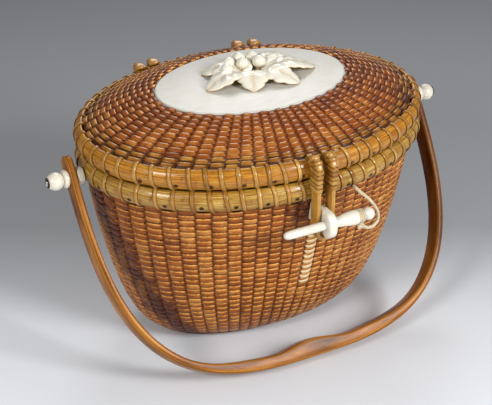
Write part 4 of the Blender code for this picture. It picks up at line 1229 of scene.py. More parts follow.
NAILS = {"Radius": NAIL_RADIUS, "Height": NAIL_HEIGHT, "Material": dark_brass}
body_nail_angles = even_angles(BODY_STAVES, BODY_STAVE_START_SHARE)[1::2]
lid_nail_angles = even_angles(LID_STAVES, LID_STAVE_START_SHARE - 0.2)[1::2]
for name, body, angles, foot in (("body_rim_nails", "basket", body_nail_angles, BODY_RIM_FOOT),
                                 ("lid_rim_nails", "lid", lid_nail_angles, LID_RIM_FOOT)):
    settle(grow(name, nail_guide(angles, foot), nails, NAILS), body, "brass")

# %% [markdown]
# ## Wood
#
# Handle, base and lid board are hardwood under varnish. The grain is noise stretched along the
# piece, with fine dark pores in it. It reads the UV map where the grain bends with the handle,
# and plain coordinates on the flat boards, so the group takes any place as its input.

# %% Wood group
grain, given, result = new_tree(
    "Wood grain", "ShaderNodeTree",
    [("Place", "NodeSocketVector", None), ("Dark", COLOUR, None), ("Middle", COLOUR, None),
     ("Light", COLOUR, None)], SURFACE)
bands = noise(grain, given["Place"], 1.6, 6.0)
pores = noise(grain, given["Place"], 9.0, 4.0)
shade = mix_colour(grain, between(grain, bands, 0.28, 0.5), given["Dark"], given["Middle"])
shade = mix_colour(grain, between(grain, bands, 0.5, 0.75), shade, given["Light"])
shade = mix_colour(grain, between(grain, pores, 0.58, 0.75, 0.0, 0.55), shade, given["Dark"])
feed(grain, result["Colour"], shade)
feed(grain, result["Roughness"], between(grain, pores, 0.3, 0.7, 0.24, 0.38))
feed(grain, result["Height"], pores)


def wood_material(name, place, scale, dark, middle, light, coat):
    """Varnished wood; place is a function that gives the coordinates for its grain."""
    material, tree, shader = new_material(name)
    inputs = {"Place": scaled(tree, place(tree), scale), "Dark": dark, "Middle": middle,
              "Light": light}
    group = add(tree, "ShaderNodeGroup", inputs, node_tree=grain)
    finish_from_group(tree, shader, group, 0.12,
                      {"Specular IOR Level": 0.08, "Coat Weight": coat, "Coat Roughness": 0.12})
    return material


def paint_arm_shade(material, start, end, share, tone):
    """Paint shade into the wood: a darker tone between two places along X, on the handle's right arm."""
    tree = material.node_tree
    colour = tree.nodes["Principled BSDF"].inputs["Base Color"]
    across = add(tree, "ShaderNodeSeparateXYZ", {"Vector": object_place(tree)}).outputs["X"]
    arm_shade = between(tree, across, start, end, 0.0, share)
    feed(tree, colour, mix_colour(tree, arm_shade, colour.links[0].from_socket, tone))


board_wood = wood_material("board wood", object_place, (30.0, 300.0, 60.0),
                           (0.07, 0.025, 0.010), (0.20, 0.080, 0.028), (0.34, 0.15, 0.055), 0.3)
bow_wood = wood_material("handle wood", uv_place, (7.0, 9.0, 1.0), (0.080, 0.022, 0.002),
                         (0.31, 0.108, 0.012), (0.52, 0.235, 0.042), 0.06)
# The handle's right arm is painted darker as shade.
paint_arm_shade(bow_wood, start=0.085, end=0.125, share=0.62, tone=(0.05, 0.012, 0.002))
print("woods:", board_wood.name, bow_wood.name)

# %% [markdown]
# ## Base and lid boards
#
# The boards' shapes are right in the CAD model, but its facets would show at the edge. Each is
# made again as a stack of fine ovals with softened edges and the groove that takes the staves.

# %% Boards
BOARD_EDGE = 0.0006
GROOVE_FOOT = 0.004
GROOVE_TOP = 0.007
GROOVE_DEPTH = 0.0045
LIP_INSET = GROOVE_DEPTH / 3
BASE_THICKNESS = 0.010
LID_BOARD_FOOT = 0.1677
LID_BOARD_THICKNESS = 0.008
LID_BOARD_INSET = 0.003


def oval_stack(name, rows):
    """Closed stack of ovals from the lowest to the highest, with flat ends."""
    piece = skin(name, [[oval(a, b, angle, z) for angle in rim_angles] for a, b, z in rows])
    piece.data.set_sharp_from_angle(angle=radians(50))
    return piece


def board(name, half_length, half_width, foot, thickness, inset=0.0):
    """Grooved board: the steps of its edge are given by how far in and how high they are."""
    steps = [(inset + BOARD_EDGE, 0.0), (inset, BOARD_EDGE), (inset, GROOVE_FOOT),
             (GROOVE_DEPTH, GROOVE_FOOT), (GROOVE_DEPTH, GROOVE_TOP), (LIP_INSET, GROOVE_TOP),
             (LIP_INSET, thickness - BOARD_EDGE), (LIP_INSET + BOARD_EDGE, thickness)]
    return oval_stack(name, [(half_length - inward, half_width - inward, foot + rise)
                             for inward, rise in steps])


base = board("base_board_turned", BASE_HALF_LENGTH, BASE_HALF_WIDTH, 0.0, BASE_THICKNESS)
settle(base, "basket", "base_wood", "base_board", material=board_wood)
lid_board = board("lid_board_turned", BOARD_HALF_LENGTH, BOARD_HALF_WIDTH, LID_BOARD_FOOT,
                  LID_BOARD_THICKNESS, LID_BOARD_INSET)
settle(lid_board, "lid", "base_wood", "lid_board", material=board_wood)
print("boards have", len(base.data.polygons) + len(lid_board.data.polygons), "faces")

# %% [markdown]
# ## Bone and cream pieces
#
# Plaque, knobs, washers, staple and peg are a cream material like bone. It is never quite
# white: very fine lines run through it, thin parts let a little light in, and yellow dirt settles
# where hands don't rub it off.

# %% Bone group
DIRT_YELLOW = (0.52, 0.30, 0.07)
bone, given, result = new_tree(
    "Bone", "ShaderNodeTree",
    [("Place", "NodeSocketVector", None), ("Pale", COLOUR, None), ("Warm", COLOUR, None),
     ("Dirt", NUMBER, 0.0)], SURFACE)
lines = noise(bone, scaled(bone, given["Place"], (1.0, 7.0, 1.0)), 90.0, 6.0)
clouds = noise(bone, given["Place"], 34.0, 2.0)
cream = mix_colour(bone, between(bone, lines, 0.45, 0.8, 0.0, 0.5), given["Pale"], given["Warm"])
cream = mix_colour(bone, between(bone, clouds, 0.5, 0.8, 0.0, 0.45), cream, given["Warm"])
feed(bone, result["Colour"], mix_colour(bone, given["Dirt"], cream, DIRT_YELLOW))
feed(bone, result["Roughness"], between(bone, lines, 0.3, 0.7, 0.30, 0.42))
feed(bone, result["Height"], lines)


def bone_material(name, pale, warm, dirt_attribute=None, coat=0.3):
    material, tree, shader = new_material(name)
    inputs = {"Place": object_place(tree), "Pale": pale, "Warm": warm}
    if dirt_attribute:
        inputs["Dirt"] = attribute(tree, dirt_attribute)
    group = add(tree, "ShaderNodeGroup", inputs, node_tree=bone)
    finish_from_group(tree, shader, group, 0.06,
                      {"Subsurface Weight": 0.15, "Subsurface Radius": (0.004, 0.003, 0.002),
                       "Coat Weight": coat, "Coat Roughness": 0.15})
    return material


plaque_bone = bone_material("plaque bone", (0.575, 0.555, 0.495), (0.525, 0.48, 0.395), coat=0.05)
turned_bone = bone_material("turned bone", (0.75, 0.71, 0.61), (0.66, 0.57, 0.39), coat=0.5)
carved_bone = bone_material("carved bone", (0.80, 0.76, 0.65), (0.70, 0.62, 0.44), "dirt")
print("bone materials:", plaque_bone.name, turned_bone.name, carved_bone.name)

# %% Plaque
PLAQUE_FOOT = 0.1760
PLAQUE_TOP = 0.1796
PLAQUE_HALF_LENGTH = 0.070
PLAQUE_HALF_WIDTH = 0.048
PLAQUE_ROUND = 0.0012
PLAQUE_EDGE_STEPS = 6

rows = [(PLAQUE_HALF_LENGTH - 0.0005, PLAQUE_HALF_WIDTH - 0.0005, PLAQUE_FOOT)]
for k in range(PLAQUE_EDGE_STEPS + 1):
    turn = pi / 2 * k / PLAQUE_EDGE_STEPS
    inset = PLAQUE_ROUND * (1 - cos(turn))
    rows.append((PLAQUE_HALF_LENGTH - inset, PLAQUE_HALF_WIDTH - inset,
                 PLAQUE_TOP - PLAQUE_ROUND * (1 - sin(turn))))
settle(oval_stack("plaque_oval", rows), "lid", "bone", "plaque", material=plaque_bone)
print("plaque", 2 * PLAQUE_HALF_LENGTH, "by", 2 * PLAQUE_HALF_WIDTH, "m")

# %% [markdown]
# ## The handle
#
# The handle is one strip of wood, bent to a bow and riveted to the knobs. It is thin at its legs,
# stouter at the bottom of the bow and swells for the fingers in the middle. Its outline is a
# superellipse, rounder than an oval. Rounded sections are lofted along it, and the result is
# tilted as the handle hangs.

# %% Handle
HANDLE_TILT = radians(35.5)
PIVOT_HEIGHT = 0.1367
HANDLE_HALF = 0.138
HANDLE_THICKNESS = 0.005
HANDLE_BOW_EXTRA = 0.0035
HANDLE_GRIP_EXTRA = 0.004
HANDLE_GRIP_HALF = 0.032
HANDLE_HALF_WIDTH = 0.0075
HANDLE_REACH = (PIVOT_HEIGHT - 0.0003 - HANDLE_HALF_WIDTH * sin(HANDLE_TILT)) / cos(HANDLE_TILT)
HANDLE_ROUND = 0.0016
HANDLE_POWER = 3.0
HANDLE_BOW_SHARE = 0.33
HANDLE_LEG_SHARE = 0.72
BOW_STEPS = 180
BOW_FINE_STEPS = 1200
CORNER_STEPS = 4
END_TURNS = (84, 65, 45, 25, 8)


def bow_point(angle):
    """Outer line of the hanging bow, as (x, drop below the knobs)."""
    return Vector((HANDLE_HALF * pushed(cos(angle), 2 / HANDLE_POWER),
                   HANDLE_REACH * sin(angle) ** (2 / HANDLE_POWER)))


def bow_gap(here, there):
    return (there - here).length


def bow_thickness(x):
    """Thin at the legs, stouter at the bottom, with a swelling for the fingers."""
    fade = (abs(x) / HANDLE_HALF - HANDLE_BOW_SHARE) / (HANDLE_LEG_SHARE - HANDLE_BOW_SHARE)
    fade = min(max(fade, 0.0), 1.0)
    thickness = HANDLE_THICKNESS + HANDLE_BOW_EXTRA * (1 - fade * fade * (3 - 2 * fade))
    if abs(x) < HANDLE_GRIP_HALF:
        thickness += HANDLE_GRIP_EXTRA * cos(pi / 2 * x / HANDLE_GRIP_HALF) ** 2
    return thickness


def strip_section(outer, inward, thickness, half_width):
    """Section with rounded corners: outer face point and the direction to the inner face."""
    corner = min(HANDLE_ROUND, thickness / 2.2, half_width / 1.5)
    section = []
    for centre_depth, side, start in ((corner, 1, 180), (thickness - corner, 1, 90),
                                      (thickness - corner, -1, 0), (corner, -1, -90)):
        for step in range(CORNER_STEPS + 1):
            turn = radians(start - 90 * step / CORNER_STEPS)
            face = outer + inward * (centre_depth + corner * cos(turn))
            across = side * (half_width - corner) + corner * sin(turn)
            section.append(Vector((face.x, -across, -face.y)))
    return section


def leg_end(side, turns):
    """Sections of a leg's round end, at angles from the knob's line."""
    sections = []
    for turn in turns:
        outer = Vector((side * HANDLE_HALF, -HANDLE_HALF_WIDTH * (1 + sin(radians(turn)))))
        sections.append(strip_section(outer, Vector((-side, 0.0)), HANDLE_THICKNESS,
                                      HANDLE_HALF_WIDTH * cos(radians(turn))))
    return sections


dense_bow = [bow_point(pi * k / BOW_FINE_STEPS) for k in range(BOW_FINE_STEPS + 1)]
bow = even_stops(dense_bow, bow_gap, BOW_STEPS + 1)
sections = leg_end(1.0, END_TURNS)
for k, point in enumerate(bow):
    along = (bow[min(k + 1, BOW_STEPS)] - bow[max(k - 1, 0)]).normalized()
    inward = Vector((-along.y, along.x))
    if k in (0, BOW_STEPS):
        inward = Vector((-1.0 if k == 0 else 1.0, 0.0))
    sections.append(strip_section(point, inward, bow_thickness(point.x), HANDLE_HALF_WIDTH))
sections += leg_end(-1.0, END_TURNS[::-1])
tilt = Matrix.Translation((0.0, 0.0, PIVOT_HEIGHT)) @ Matrix.Rotation(-HANDLE_TILT, 4, "X")
handle = skin("handle_bow", [[tilt @ point for point in section] for section in sections])
settle(handle, "handle", "handle_wood", "handle", material=bow_wood)
print("handle bow", round(2 * HANDLE_HALF, 3), "m wide")

# %% [markdown]
# ## Knobs, washers and rivets
#
# Each end of the handle is held by a long rivet: a bone washer between rim and handle, a turned
# knob outside it, and a dark disc under the rivet's bright head. They are all turned pieces, spun
# about the handle's axis with finer steps than in the CAD model.

# %% Turned fittings
PIN_HOLE = 0.0017
WASHER_SEAT = 0.1278
WASHER_TOP = 0.1327
WASHER_RADIUS = 0.0065
WASHER_EDGE = 0.0008
KNOB_SEAT = 0.1383
KNOB_RADIUS = 0.0062
KNOB_CENTRE = KNOB_SEAT + 0.0086
KNOB_CUT = 0.62
DISC_RADIUS = 0.0036
DISC_EDGE = 0.0002
KNOB_TOP = KNOB_CENTRE + sqrt(KNOB_RADIUS ** 2 - DISC_RADIUS ** 2)
DISC_FOOT = KNOB_TOP + 0.0003
DISC_TOP = DISC_FOOT + 0.0005
HEAD_FOOT = DISC_FOOT + 0.0008
PIN_RADIUS = 0.0014
PIN_END = 0.1141
silver = metal("rivet silver", (0.35, 0.34, 0.32), (0.72, 0.71, 0.69), 0.18)


def rounded(foot, top, radius, edge):
    """Outline of a disc with rounded rims, from its top to its foot."""
    outline = []
    for centre, start in ((top - edge, 0.0), (foot + edge, pi / 2)):
        for step in range(5):
            turn = start + pi / 2 * step / 4
            outline.append((radius - edge + edge * sin(turn), centre + edge * cos(turn)))
    return outline


def bored(outline, foot, top):
    """Close an outline along the rivet's hole."""
    return [(PIN_HOLE, top)] + outline + [(PIN_HOLE, foot)]


washer = bored(rounded(WASHER_SEAT, WASHER_TOP, WASHER_RADIUS, WASHER_EDGE),
               WASHER_SEAT, WASHER_TOP)
ball = arc(KNOB_RADIUS, KNOB_CENTRE, KNOB_CUT, pi - KNOB_CUT, 18)
collar = [(radius, KNOB_SEAT + rise) for radius, rise in
          ((0.0049, 0.0034), (0.0057, 0.0031), (0.0063, 0.0022), (0.0064, 0.0014),
           (0.0062, 0.0006), (0.0058, 0.0))]
knob = bored(ball + collar, KNOB_SEAT, KNOB_TOP)
disc = bored(rounded(DISC_FOOT, DISC_TOP, DISC_RADIUS, DISC_EDGE), DISC_FOOT, DISC_TOP)
head = [(radius, HEAD_FOOT + rise) for radius, rise in
        ((0.0, 0.0011), (0.0010, 0.00105), (0.0018, 0.0008), (0.0023, 0.0003), (0.0024, 0.0))]
tail = [(radius, PIN_END - drop) for radius, drop in
        ((0.0024, 0.0), (0.0023, 0.0003), (0.0018, 0.0008), (0.0, 0.0011))]
pin = head + [(PIN_RADIUS, HEAD_FOOT), (PIN_RADIUS, PIN_END)] + tail

for label, side in (("left", -1.0), ("right", 1.0)):
    axis = Matrix.Translation((0.0, 0.0, PIVOT_HEIGHT)) @ Matrix.Rotation(side * pi / 2, 4, "Y")
    for name, outline, material, slot, node in (
            ("washer_", washer, turned_bone, "bone", "knob_washer_"),
            ("turned_knob_", knob, turned_bone, "bone", "knob_"),
            ("dark_disc_", disc, dark_brass, "brass", "rivet_disc_"),
            ("long_rivet_", pin, silver, "silver", "handle_pin_")):
        piece = turned(name + label, outline, axis, looped=outline is not pin)
        piece.data.set_sharp_from_angle(angle=radians(45))
        settle(piece, "basket", slot, node + label, material=material)
print("fittings turned at both ends")

# %% [markdown]
# ## The staple
#
# The staple is an ear of bone that stands out of the wall, through the hasp. Its outline is drawn
# from the side, given the staple's thickness and rounded with a Bevel modifier. A Boolean cuts
# the hole for the peg, because the hole shows as soon as the peg is drawn out.

# %% Staple
STAPLE_HALF = 0.0031
STAPLE_TOP = 0.1285
STAPLE_FOOT = STAPLE_TOP - 0.0150
STAPLE_NOSE = 0.00925
STAPLE_REACH = 0.0068
STAPLE_SOFTNESS = 0.0013
ROOT_STEPS = 6
NOSE_STEPS = 18
PEG_HOLE_RADIUS = 0.0033
DRILL_HALF = 0.01


def wall_reach(x, z):
    """Distance of the body's outer face from the long axis."""
    ring = min(body_front, key=lambda oval_ring: abs(oval_ring.z - z))
    return ring.y * sqrt(1 - (x / ring.x) ** 2)


def bake(piece):
    """Apply a piece's modifiers."""
    depsgraph = bpy.context.evaluated_depsgraph_get()
    mesh = bpy.data.meshes.new_from_object(piece.evaluated_get(depsgraph))
    piece.modifiers.clear()
    piece.data = mesh
    mesh.shade_smooth()
    return piece


outline = []
for step in range(ROOT_STEPS + 1):
    height = STAPLE_FOOT + (STAPLE_TOP - STAPLE_FOOT) * step / ROOT_STEPS
    outline.append((-wall_reach(PEG_LINE.x, height) - 0.0003, height))
for step in range(NOSE_STEPS + 1):
    turn = pi / 2 - pi * step / NOSE_STEPS
    outline.append((PEG_LINE.y - STAPLE_REACH * cos(turn),
                    STAPLE_TOP - STAPLE_NOSE + STAPLE_NOSE * sin(turn)))
outline.append((PEG_LINE.y + STAPLE_REACH, STAPLE_FOOT))
staple = skin("staple_ear", [[Vector((PEG_LINE.x + side * STAPLE_HALF, y, z)) for y, z in outline]
                             for side in (-1, 1)])
peg_axis = Matrix.Translation(PEG_LINE) @ Matrix.Rotation(pi / 2, 4, "Y")
drill = turned("drill", [(0.0, -DRILL_HALF), (PEG_HOLE_RADIUS, -DRILL_HALF),
                         (PEG_HOLE_RADIUS, DRILL_HALF), (0.0, DRILL_HALF)], peg_axis)
soften = staple.modifiers.new("soft edges", "BEVEL")
soften.width = STAPLE_SOFTNESS
soften.segments = 4
soften.limit_method = "ANGLE"
soften.angle_limit = radians(50)
hole = staple.modifiers.new("peg hole", "BOOLEAN")
hole.operation = "DIFFERENCE"
hole.solver = "EXACT"
hole.object = drill
bake(staple)
bpy.data.objects.remove(drill, do_unlink=True)
staple.data.set_sharp_from_angle(angle=radians(40))
staple.data.materials.clear()
settle(staple, "basket", "bone", "staple", material=turned_bone)
print("staple has", len(staple.data.polygons), "faces")

# %% [markdown]
# ## The peg
#
# The peg is turned like a chess piece: a ball, a collar, a neck for the cord, a swelling body
# and a slim foot, then a long shaft with a rounded tip. One outline is spun about the peg's
# axis. Its points are rounded with a smooth curve where the real peg has no edges.

# %% Peg
PEG_BALL_RADIUS = 0.0044
PEG_BALL_CENTRE = 0.0300
PEG_BODY_RADIUS = 0.0051
PEG_SHAFT_RADIUS = 0.0030
PEG_TIP = -0.0336
PEG_SHOULDER = STAPLE_HALF + 0.0003
NECK_HALF = CORD_DIAMETER / 2 + 0.0003
NECK_TOP = PEG_NECK_REACH - NECK_HALF
NECK_END = PEG_NECK_REACH + NECK_HALF
# Shares of the body's radius and of the way down it, and of the shaft's radius and length.
BODY_SHARES = ((0.60, 0.0), (0.84, 0.01), (0.97, 0.10), (1.0, 0.21), (0.96, 0.34), (0.88, 0.50),
               (0.78, 0.66), (0.72, 0.80), (0.71, 0.92), (0.70, 0.99))
TIP_SHARES = ((1.0, 0.70), (0.985, 0.80), (0.95, 0.87), (0.88, 0.925), (0.76, 0.962),
              (0.58, 0.985), (0.34, 0.997), (0.0, 1.0))

ball = arc(PEG_BALL_RADIUS, PEG_BALL_CENTRE, 0.0, pi - 0.75, 16)
collar = [(PEG_NECK_RADIUS + wider, NECK_END + rise) for wider, rise in
          ((0.0, 0.0010), (0.0005, 0.0008), (0.0007, 0.0004), (0.0005, 0.0), (0.0, -0.0002))]
body_stops = [Vector((PEG_BODY_RADIUS * wide, NECK_TOP - (NECK_TOP - PEG_SHOULDER) * down, 0.0))
              for wide, down in BODY_SHARES]
body_line = [(stop.x, stop.y) for stop in smooth_line(body_stops, 4)]
tip = [(PEG_SHAFT_RADIUS * wide, PEG_TIP * down) for wide, down in TIP_SHARES]
outline = ball + collar + [(PEG_NECK_RADIUS, NECK_TOP + 0.0003)] + body_line
outline += [(0.0033, PEG_SHOULDER), (PEG_SHAFT_RADIUS, PEG_SHOULDER - 0.0002)] + tip
peg = turned("turned_peg", outline, peg_axis)
peg.data.set_sharp_from_angle(angle=radians(60))
settle(peg, "peg", "bone", "peg", material=turned_bone)
print("peg", round(PEG_BALL_CENTRE + PEG_BALL_RADIUS - PEG_TIP, 4), "m long")

# %% Nail of the cord
CORD_NAIL = {"Radius": 0.0012, "Height": 0.0006, "Material": dark_brass}
nail_middle = sum(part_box("cord_nail"), Vector()) / 2
nail_out = Vector((nail_middle.x / RIM_HALF_LENGTH ** 2, nail_middle.y / RIM_HALF_WIDTH ** 2, 0.0))
nail_out.normalize()
guide = Guide()
guide.add_path([still(nail_middle - nail_out * 0.0002, nail_out)])
settle(grow("cord_nail_head", guide, nails, CORD_NAIL), "basket", "brass", "cord_nail")

# %% [markdown]
# ## The hasp
#
# The hasp is a hairpin of flat cane. Its two legs hook over the lid's rim, run down beside the
# staple and meet in a round bend below it. It is lofted from rounded sections along that path.
# Each leg is bound with turns of fine cane where it crosses the rim, and the ribbon tree makes
# them as closed paths round the leg's sections, so they hug it everywhere.

# %% Hasp
HASP_CENTRE = 0.001
HASP_INNER = 0.0038
HASP_LEG = 0.0032
HASP_BACK = -0.0953
HASP_DEPTH = 0.009
HOOK_THICKNESS = 0.0016
HOOK_REACH = 0.0035
HOOK_RADIUS = 0.0036
HOOK_FOOT = LID_RIM_TOP + 0.0008
HOOK_SHARE = 0.3
HASP_BEND = SEAM_HEIGHT - 0.0345
HASP_POWERS = (0.4, 0.4)
HASP_POINTS = 24
HUMP_HEIGHT = 0.0009
HUMP_STATION = 0.75
HUMP_NARROWNESS = 2.2
CORNER = Vector((0.0, HASP_BACK + HOOK_RADIUS, HOOK_FOOT - HOOK_RADIUS))
LEG_RADIUS = HASP_INNER + HASP_LEG / 2
ACROSS = Vector((1.0, 0.0, 0.0))


def leg_station(s):
    """Back edge, outward direction and depth of a leg: 0 at the hook's end, 1 at its corner."""
    if s <= HOOK_SHARE:
        y = CORNER.y + HOOK_REACH * (1 - s / HOOK_SHARE)
        return Vector((0.0, y, HOOK_FOOT)), Vector((0.0, 0.0, 1.0)), HOOK_THICKNESS
    if s <= 1.0:
        share = 1 - (s - HOOK_SHARE) / (1.0 - HOOK_SHARE)
        out = Vector((0.0, -cos(pi / 2 * share), sin(pi / 2 * share)))
        depth = HASP_DEPTH + (HOOK_THICKNESS - HASP_DEPTH) * share
        return CORNER + out * HOOK_RADIUS, out, depth
    z = CORNER.z + (HASP_BEND - CORNER.z) * (s - 1.0)
    return Vector((0.0, HASP_BACK, z)), Vector((0.0, -1.0, 0.0)), HASP_DEPTH


def leg_section(s, side, proud=0.0):
    """Rounded section of a leg, or a path that stands proud of it."""
    back, out, depth = leg_station(s)
    proud += HUMP_HEIGHT * max(0.0, cos((s - HUMP_STATION) * HUMP_NARROWNESS)) ** 2
    middle = back + out * depth / 2 + ACROSS * (HASP_CENTRE + side * LEG_RADIUS)
    return bar_section(middle, ACROSS * (HASP_LEG / 2 + proud), out * (depth / 2 + proud),
                       HASP_POWERS, HASP_POINTS)


def bend_section(turn):
    """Section of the round bend under the staple at an angle from the left leg."""
    outward = Vector((-cos(turn), 0.0, -sin(turn)))
    middle = Vector((HASP_CENTRE, HASP_BACK - HASP_DEPTH / 2, HASP_BEND)) + outward * LEG_RADIUS
    return bar_section(middle, -outward * HASP_LEG / 2, Vector((0.0, -HASP_DEPTH / 2, 0.0)),
                       HASP_POWERS, HASP_POINTS)


def mirrored(section):
    """The same section with its points counted from its other side across X."""
    count = len(section)
    return [section[(count // 2 - k) % count] for k in range(count)]


stations = [0.0, 0.1, 0.2, 0.3] + [0.3 + 0.7 * k / 10 for k in range(1, 11)]
stations += [1.0 + k / 12 for k in range(1, 13)]
sections = [leg_section(s, -1) for s in stations]
sections += [bend_section(pi * k / 16) for k in range(1, 16)]
sections += [mirrored(leg_section(s, 1)) for s in reversed(stations)]

flat_cane, tree, shader = new_material("hasp cane")
streaks = noise(tree, scaled(tree, uv_place(tree), (3.0, 30.0, 1.0)), 4.0, 5.0)
patches = noise(tree, object_place(tree), 180.0)
ochre = ramp(tree, streaks, [(0.36, (0.28, 0.105, 0.012)), (0.5, (0.46, 0.22, 0.026)),
                             (0.64, (0.62, 0.35, 0.055))])
ochre = mix_colour(tree, between(tree, patches, 0.5, 0.75, 0.0, 0.6), ochre, (0.30, 0.13, 0.03))
finish_surface(tree, shader, ochre, between(tree, streaks, 0.3, 0.7, 0.3, 0.5), streaks, 0.35,
               {"Coat Weight": 0.4, "Coat Roughness": 0.2})
settle(skin("hasp_hairpin", sections), "lid", "rim_rattan", "hasp", material=flat_cane)

# %% Wraps of the hasp
WRAPS = {"Width": 0.0034, "Thickness": 0.0009, "Roundness": 0.8, "Material": lash_cane}
WRAP_PROUD = WRAPS["Thickness"] / 2 - 0.0002
LEG_LENGTH = CORNER.z - HASP_BEND
HOOK_WRAPS = (0.62, 0.81)
LEG_WRAP_DROPS = [0.0012 + WRAPS["Width"] * k for k in range(5)]


def wrap_stops(path, side_axis, tone):
    """Stops of a closed turn of cane; its outward direction lies across path and side axis."""
    middle = sum(path, Vector()) / len(path)
    return [still(place, outward if outward.dot(place - middle) > 0 else -outward, tone)
            for place, outward in zip(path, outwards(path, side_axis))]


guide = Guide()
wrap_stations = [*HOOK_WRAPS, *(1.0 + drop / LEG_LENGTH for drop in LEG_WRAP_DROPS)]
for side in (-1, 1):
    for s in wrap_stations:
        out = leg_station(s)[1]
        travel = Vector((0.0, out.z, -out.y))
        path = leg_section(s, side, proud=WRAP_PROUD)
        guide.add_path(wrap_stops(path, travel, chance.uniform(0.5, 0.85)), closed=True)
settle(grow("hasp_wraps", guide, ribbon, WRAPS), "lid", "rim_rattan")

# %% [markdown]
# ## The hinges
#
# At the back two cane loops of the lid and one of the body share a rod. Each loop is a bent
# strip with rounded edges: over the rim, down its outside and round the rod. The strips are
# lofted along that bend, and the rods are turned.

# %% Hinges
hinge_cane = rattan_material("hinge cane", (0.13, 0.040, 0.004), (0.40, 0.165, 0.016),
                             (0.66, 0.35, 0.055))
HINGE_SPREAD = 0.082
HINGE_LINE = 0.096
HINGE_OFFSET = 0.006
HINGE_GAP = 0.0008
HINGE_POWERS = (0.55, 0.7)
STRAP_DEPTH = 0.0042
STRAP_WIDTH = 0.0041
STRAP_HALF = 0.0021
STRAP_END_EXTRA = 0.0047
EAR_WIDTH = 0.0048
EAR_HALF = 0.0025
EAR_THICKNESS = 0.0034
EYE_START = 2.6
EYE_RADIUS = 0.00225
EYE_THICKNESS = 0.0018
EYE_STEPS = 28
ROD_RADIUS = 0.0013
ROD_REACH = HINGE_OFFSET + 0.0024


def bar_sections(line, widths, thicknesses, points=20):
    """Rounded sections of a strip bent in the plane across X, centred on a line."""
    sections = []
    for k, place in enumerate(line):
        along = (line[min(k + 1, len(line) - 1)] - line[max(k - 1, 0)]).normalized()
        sections.append(bar_section(place, ACROSS * widths[k] / 2,
                                    along.cross(ACROSS) * thicknesses[k] / 2, HINGE_POWERS, points))
    return sections


def hinge_loop(name, line, widths, thicknesses, eye_width):
    """Strip along a line and a closed eye round the rod, as one piece."""
    shape = bmesh.new()
    add_skin(shape, bar_sections(line, widths, thicknesses))
    turns = [EYE_START - turn for turn in full_turn(EYE_STEPS)]
    eye = [Vector((line[0].x, HINGE_LINE + EYE_RADIUS * cos(turn),
                   SEAM_HEIGHT + EYE_RADIUS * sin(turn))) for turn in turns]
    add_skin(shape, bar_sections(eye, [eye_width] * EYE_STEPS, [EYE_THICKNESS] * EYE_STEPS),
             looped=True)
    return keep_mesh(name, shape)


def hinge_face(x, half):
    """Where a loop lies on the rim, at its side that is nearer the middle."""
    return RIM_HALF_WIDTH * sqrt(1 - ((x - half) / RIM_HALF_LENGTH) ** 2) + HINGE_GAP


def strap_line(x, face):
    """Middle line of a lid strap, from its end inside the rim to its turn round the rod."""
    middle = STRAP_DEPTH / 2
    top = LID_RIM_TOP + 0.0020
    stops = [(-0.0075, top - 0.0002), (-0.0045, top + 0.0003), (-0.0010, top),
             (0.0016, top - 0.0022), (middle, top - 0.0060), (middle, SEAM_HEIGHT + 0.0090),
             (middle, SEAM_HEIGHT + 0.0045)]
    return smooth_line([Vector((x, face + out, z)) for out, z in stops], 5)


def ear_line(x, face):
    """Middle line of a body ear, up to its turn round the rod."""
    stops = [(0.0016, 0.0138), (0.0019, 0.0100), (0.0020, 0.0045)]
    return smooth_line([Vector((x, face + out, SEAM_HEIGHT - drop)) for out, drop in stops], 6)


for label, side in (("left", -1), ("right", 1)):
    for place_name, offset in (("inner", -HINGE_OFFSET), ("outer", HINGE_OFFSET)):
        x = HINGE_SPREAD / 2 + offset
        line = strap_line(side * x, hinge_face(x, STRAP_HALF))
        widths = [STRAP_WIDTH + STRAP_END_EXTRA * (1 - min(k / (len(line) - 1) * 1.6, 1.0))
                  for k in range(len(line))]
        thicknesses = [0.0030 + 0.0008 * min(k / 6, 1.0) for k in range(len(line))]
        strap = hinge_loop("hinge_loop_" + label + "_" + place_name, line, widths, thicknesses,
                           STRAP_WIDTH)
        settle(strap, "lid", "hinge_rattan", "hinge_strap_" + label + "_" + place_name,
               material=hinge_cane)

    line = ear_line(side * HINGE_SPREAD / 2, hinge_face(HINGE_SPREAD / 2, EAR_HALF))
    ear = hinge_loop("hinge_lug_" + label, line, [EAR_WIDTH] * len(line),
                     [EAR_THICKNESS] * len(line), EAR_WIDTH)
    settle(ear, "basket", "hinge_rattan", "hinge_ear_" + label, material=hinge_cane)

    rod = [(0.0, ROD_REACH + 0.0009), (0.0014, ROD_REACH + 0.0008), (0.0020, ROD_REACH + 0.0004),
           (0.0021, ROD_REACH), (ROD_RADIUS, ROD_REACH)]
    rod += [(radius, -height) for radius, height in reversed(rod)]
    rod_place = Matrix.Translation((side * HINGE_SPREAD / 2, HINGE_LINE, SEAM_HEIGHT))
    rod = turned("hinge_pin_" + label, rod, rod_place @ Matrix.Rotation(pi / 2, 4, "Y"), 24)
    settle(rod, "basket", "brass", "hinge_rod_" + label, material=dark_brass)
print("hinges", HINGE_SPREAD, "m apart")

# %% [markdown]
# ## The carved sprig
#
# A spray of leaves and berries is carved in relief in the middle of the plaque. The design is a
# plain generic one. Each leaf is a curved blade: wide near its foot, pointed at its tip, folded
# along its midrib and with small veins pressed in. The blade is a closed grid, and the points
# near the plaque carry a dirt value, so that the hollows look yellow as they do on old bone.

# %% Leaves
SPRIG_CENTRE = Vector((0.003, 0.007, PLAQUE_TOP))
LEAF_STEPS = 28
LEAF_THICKNESS = 0.0013
LEAF_HALF_STEPS = 6
VEIN_HEIGHT = 0.00040
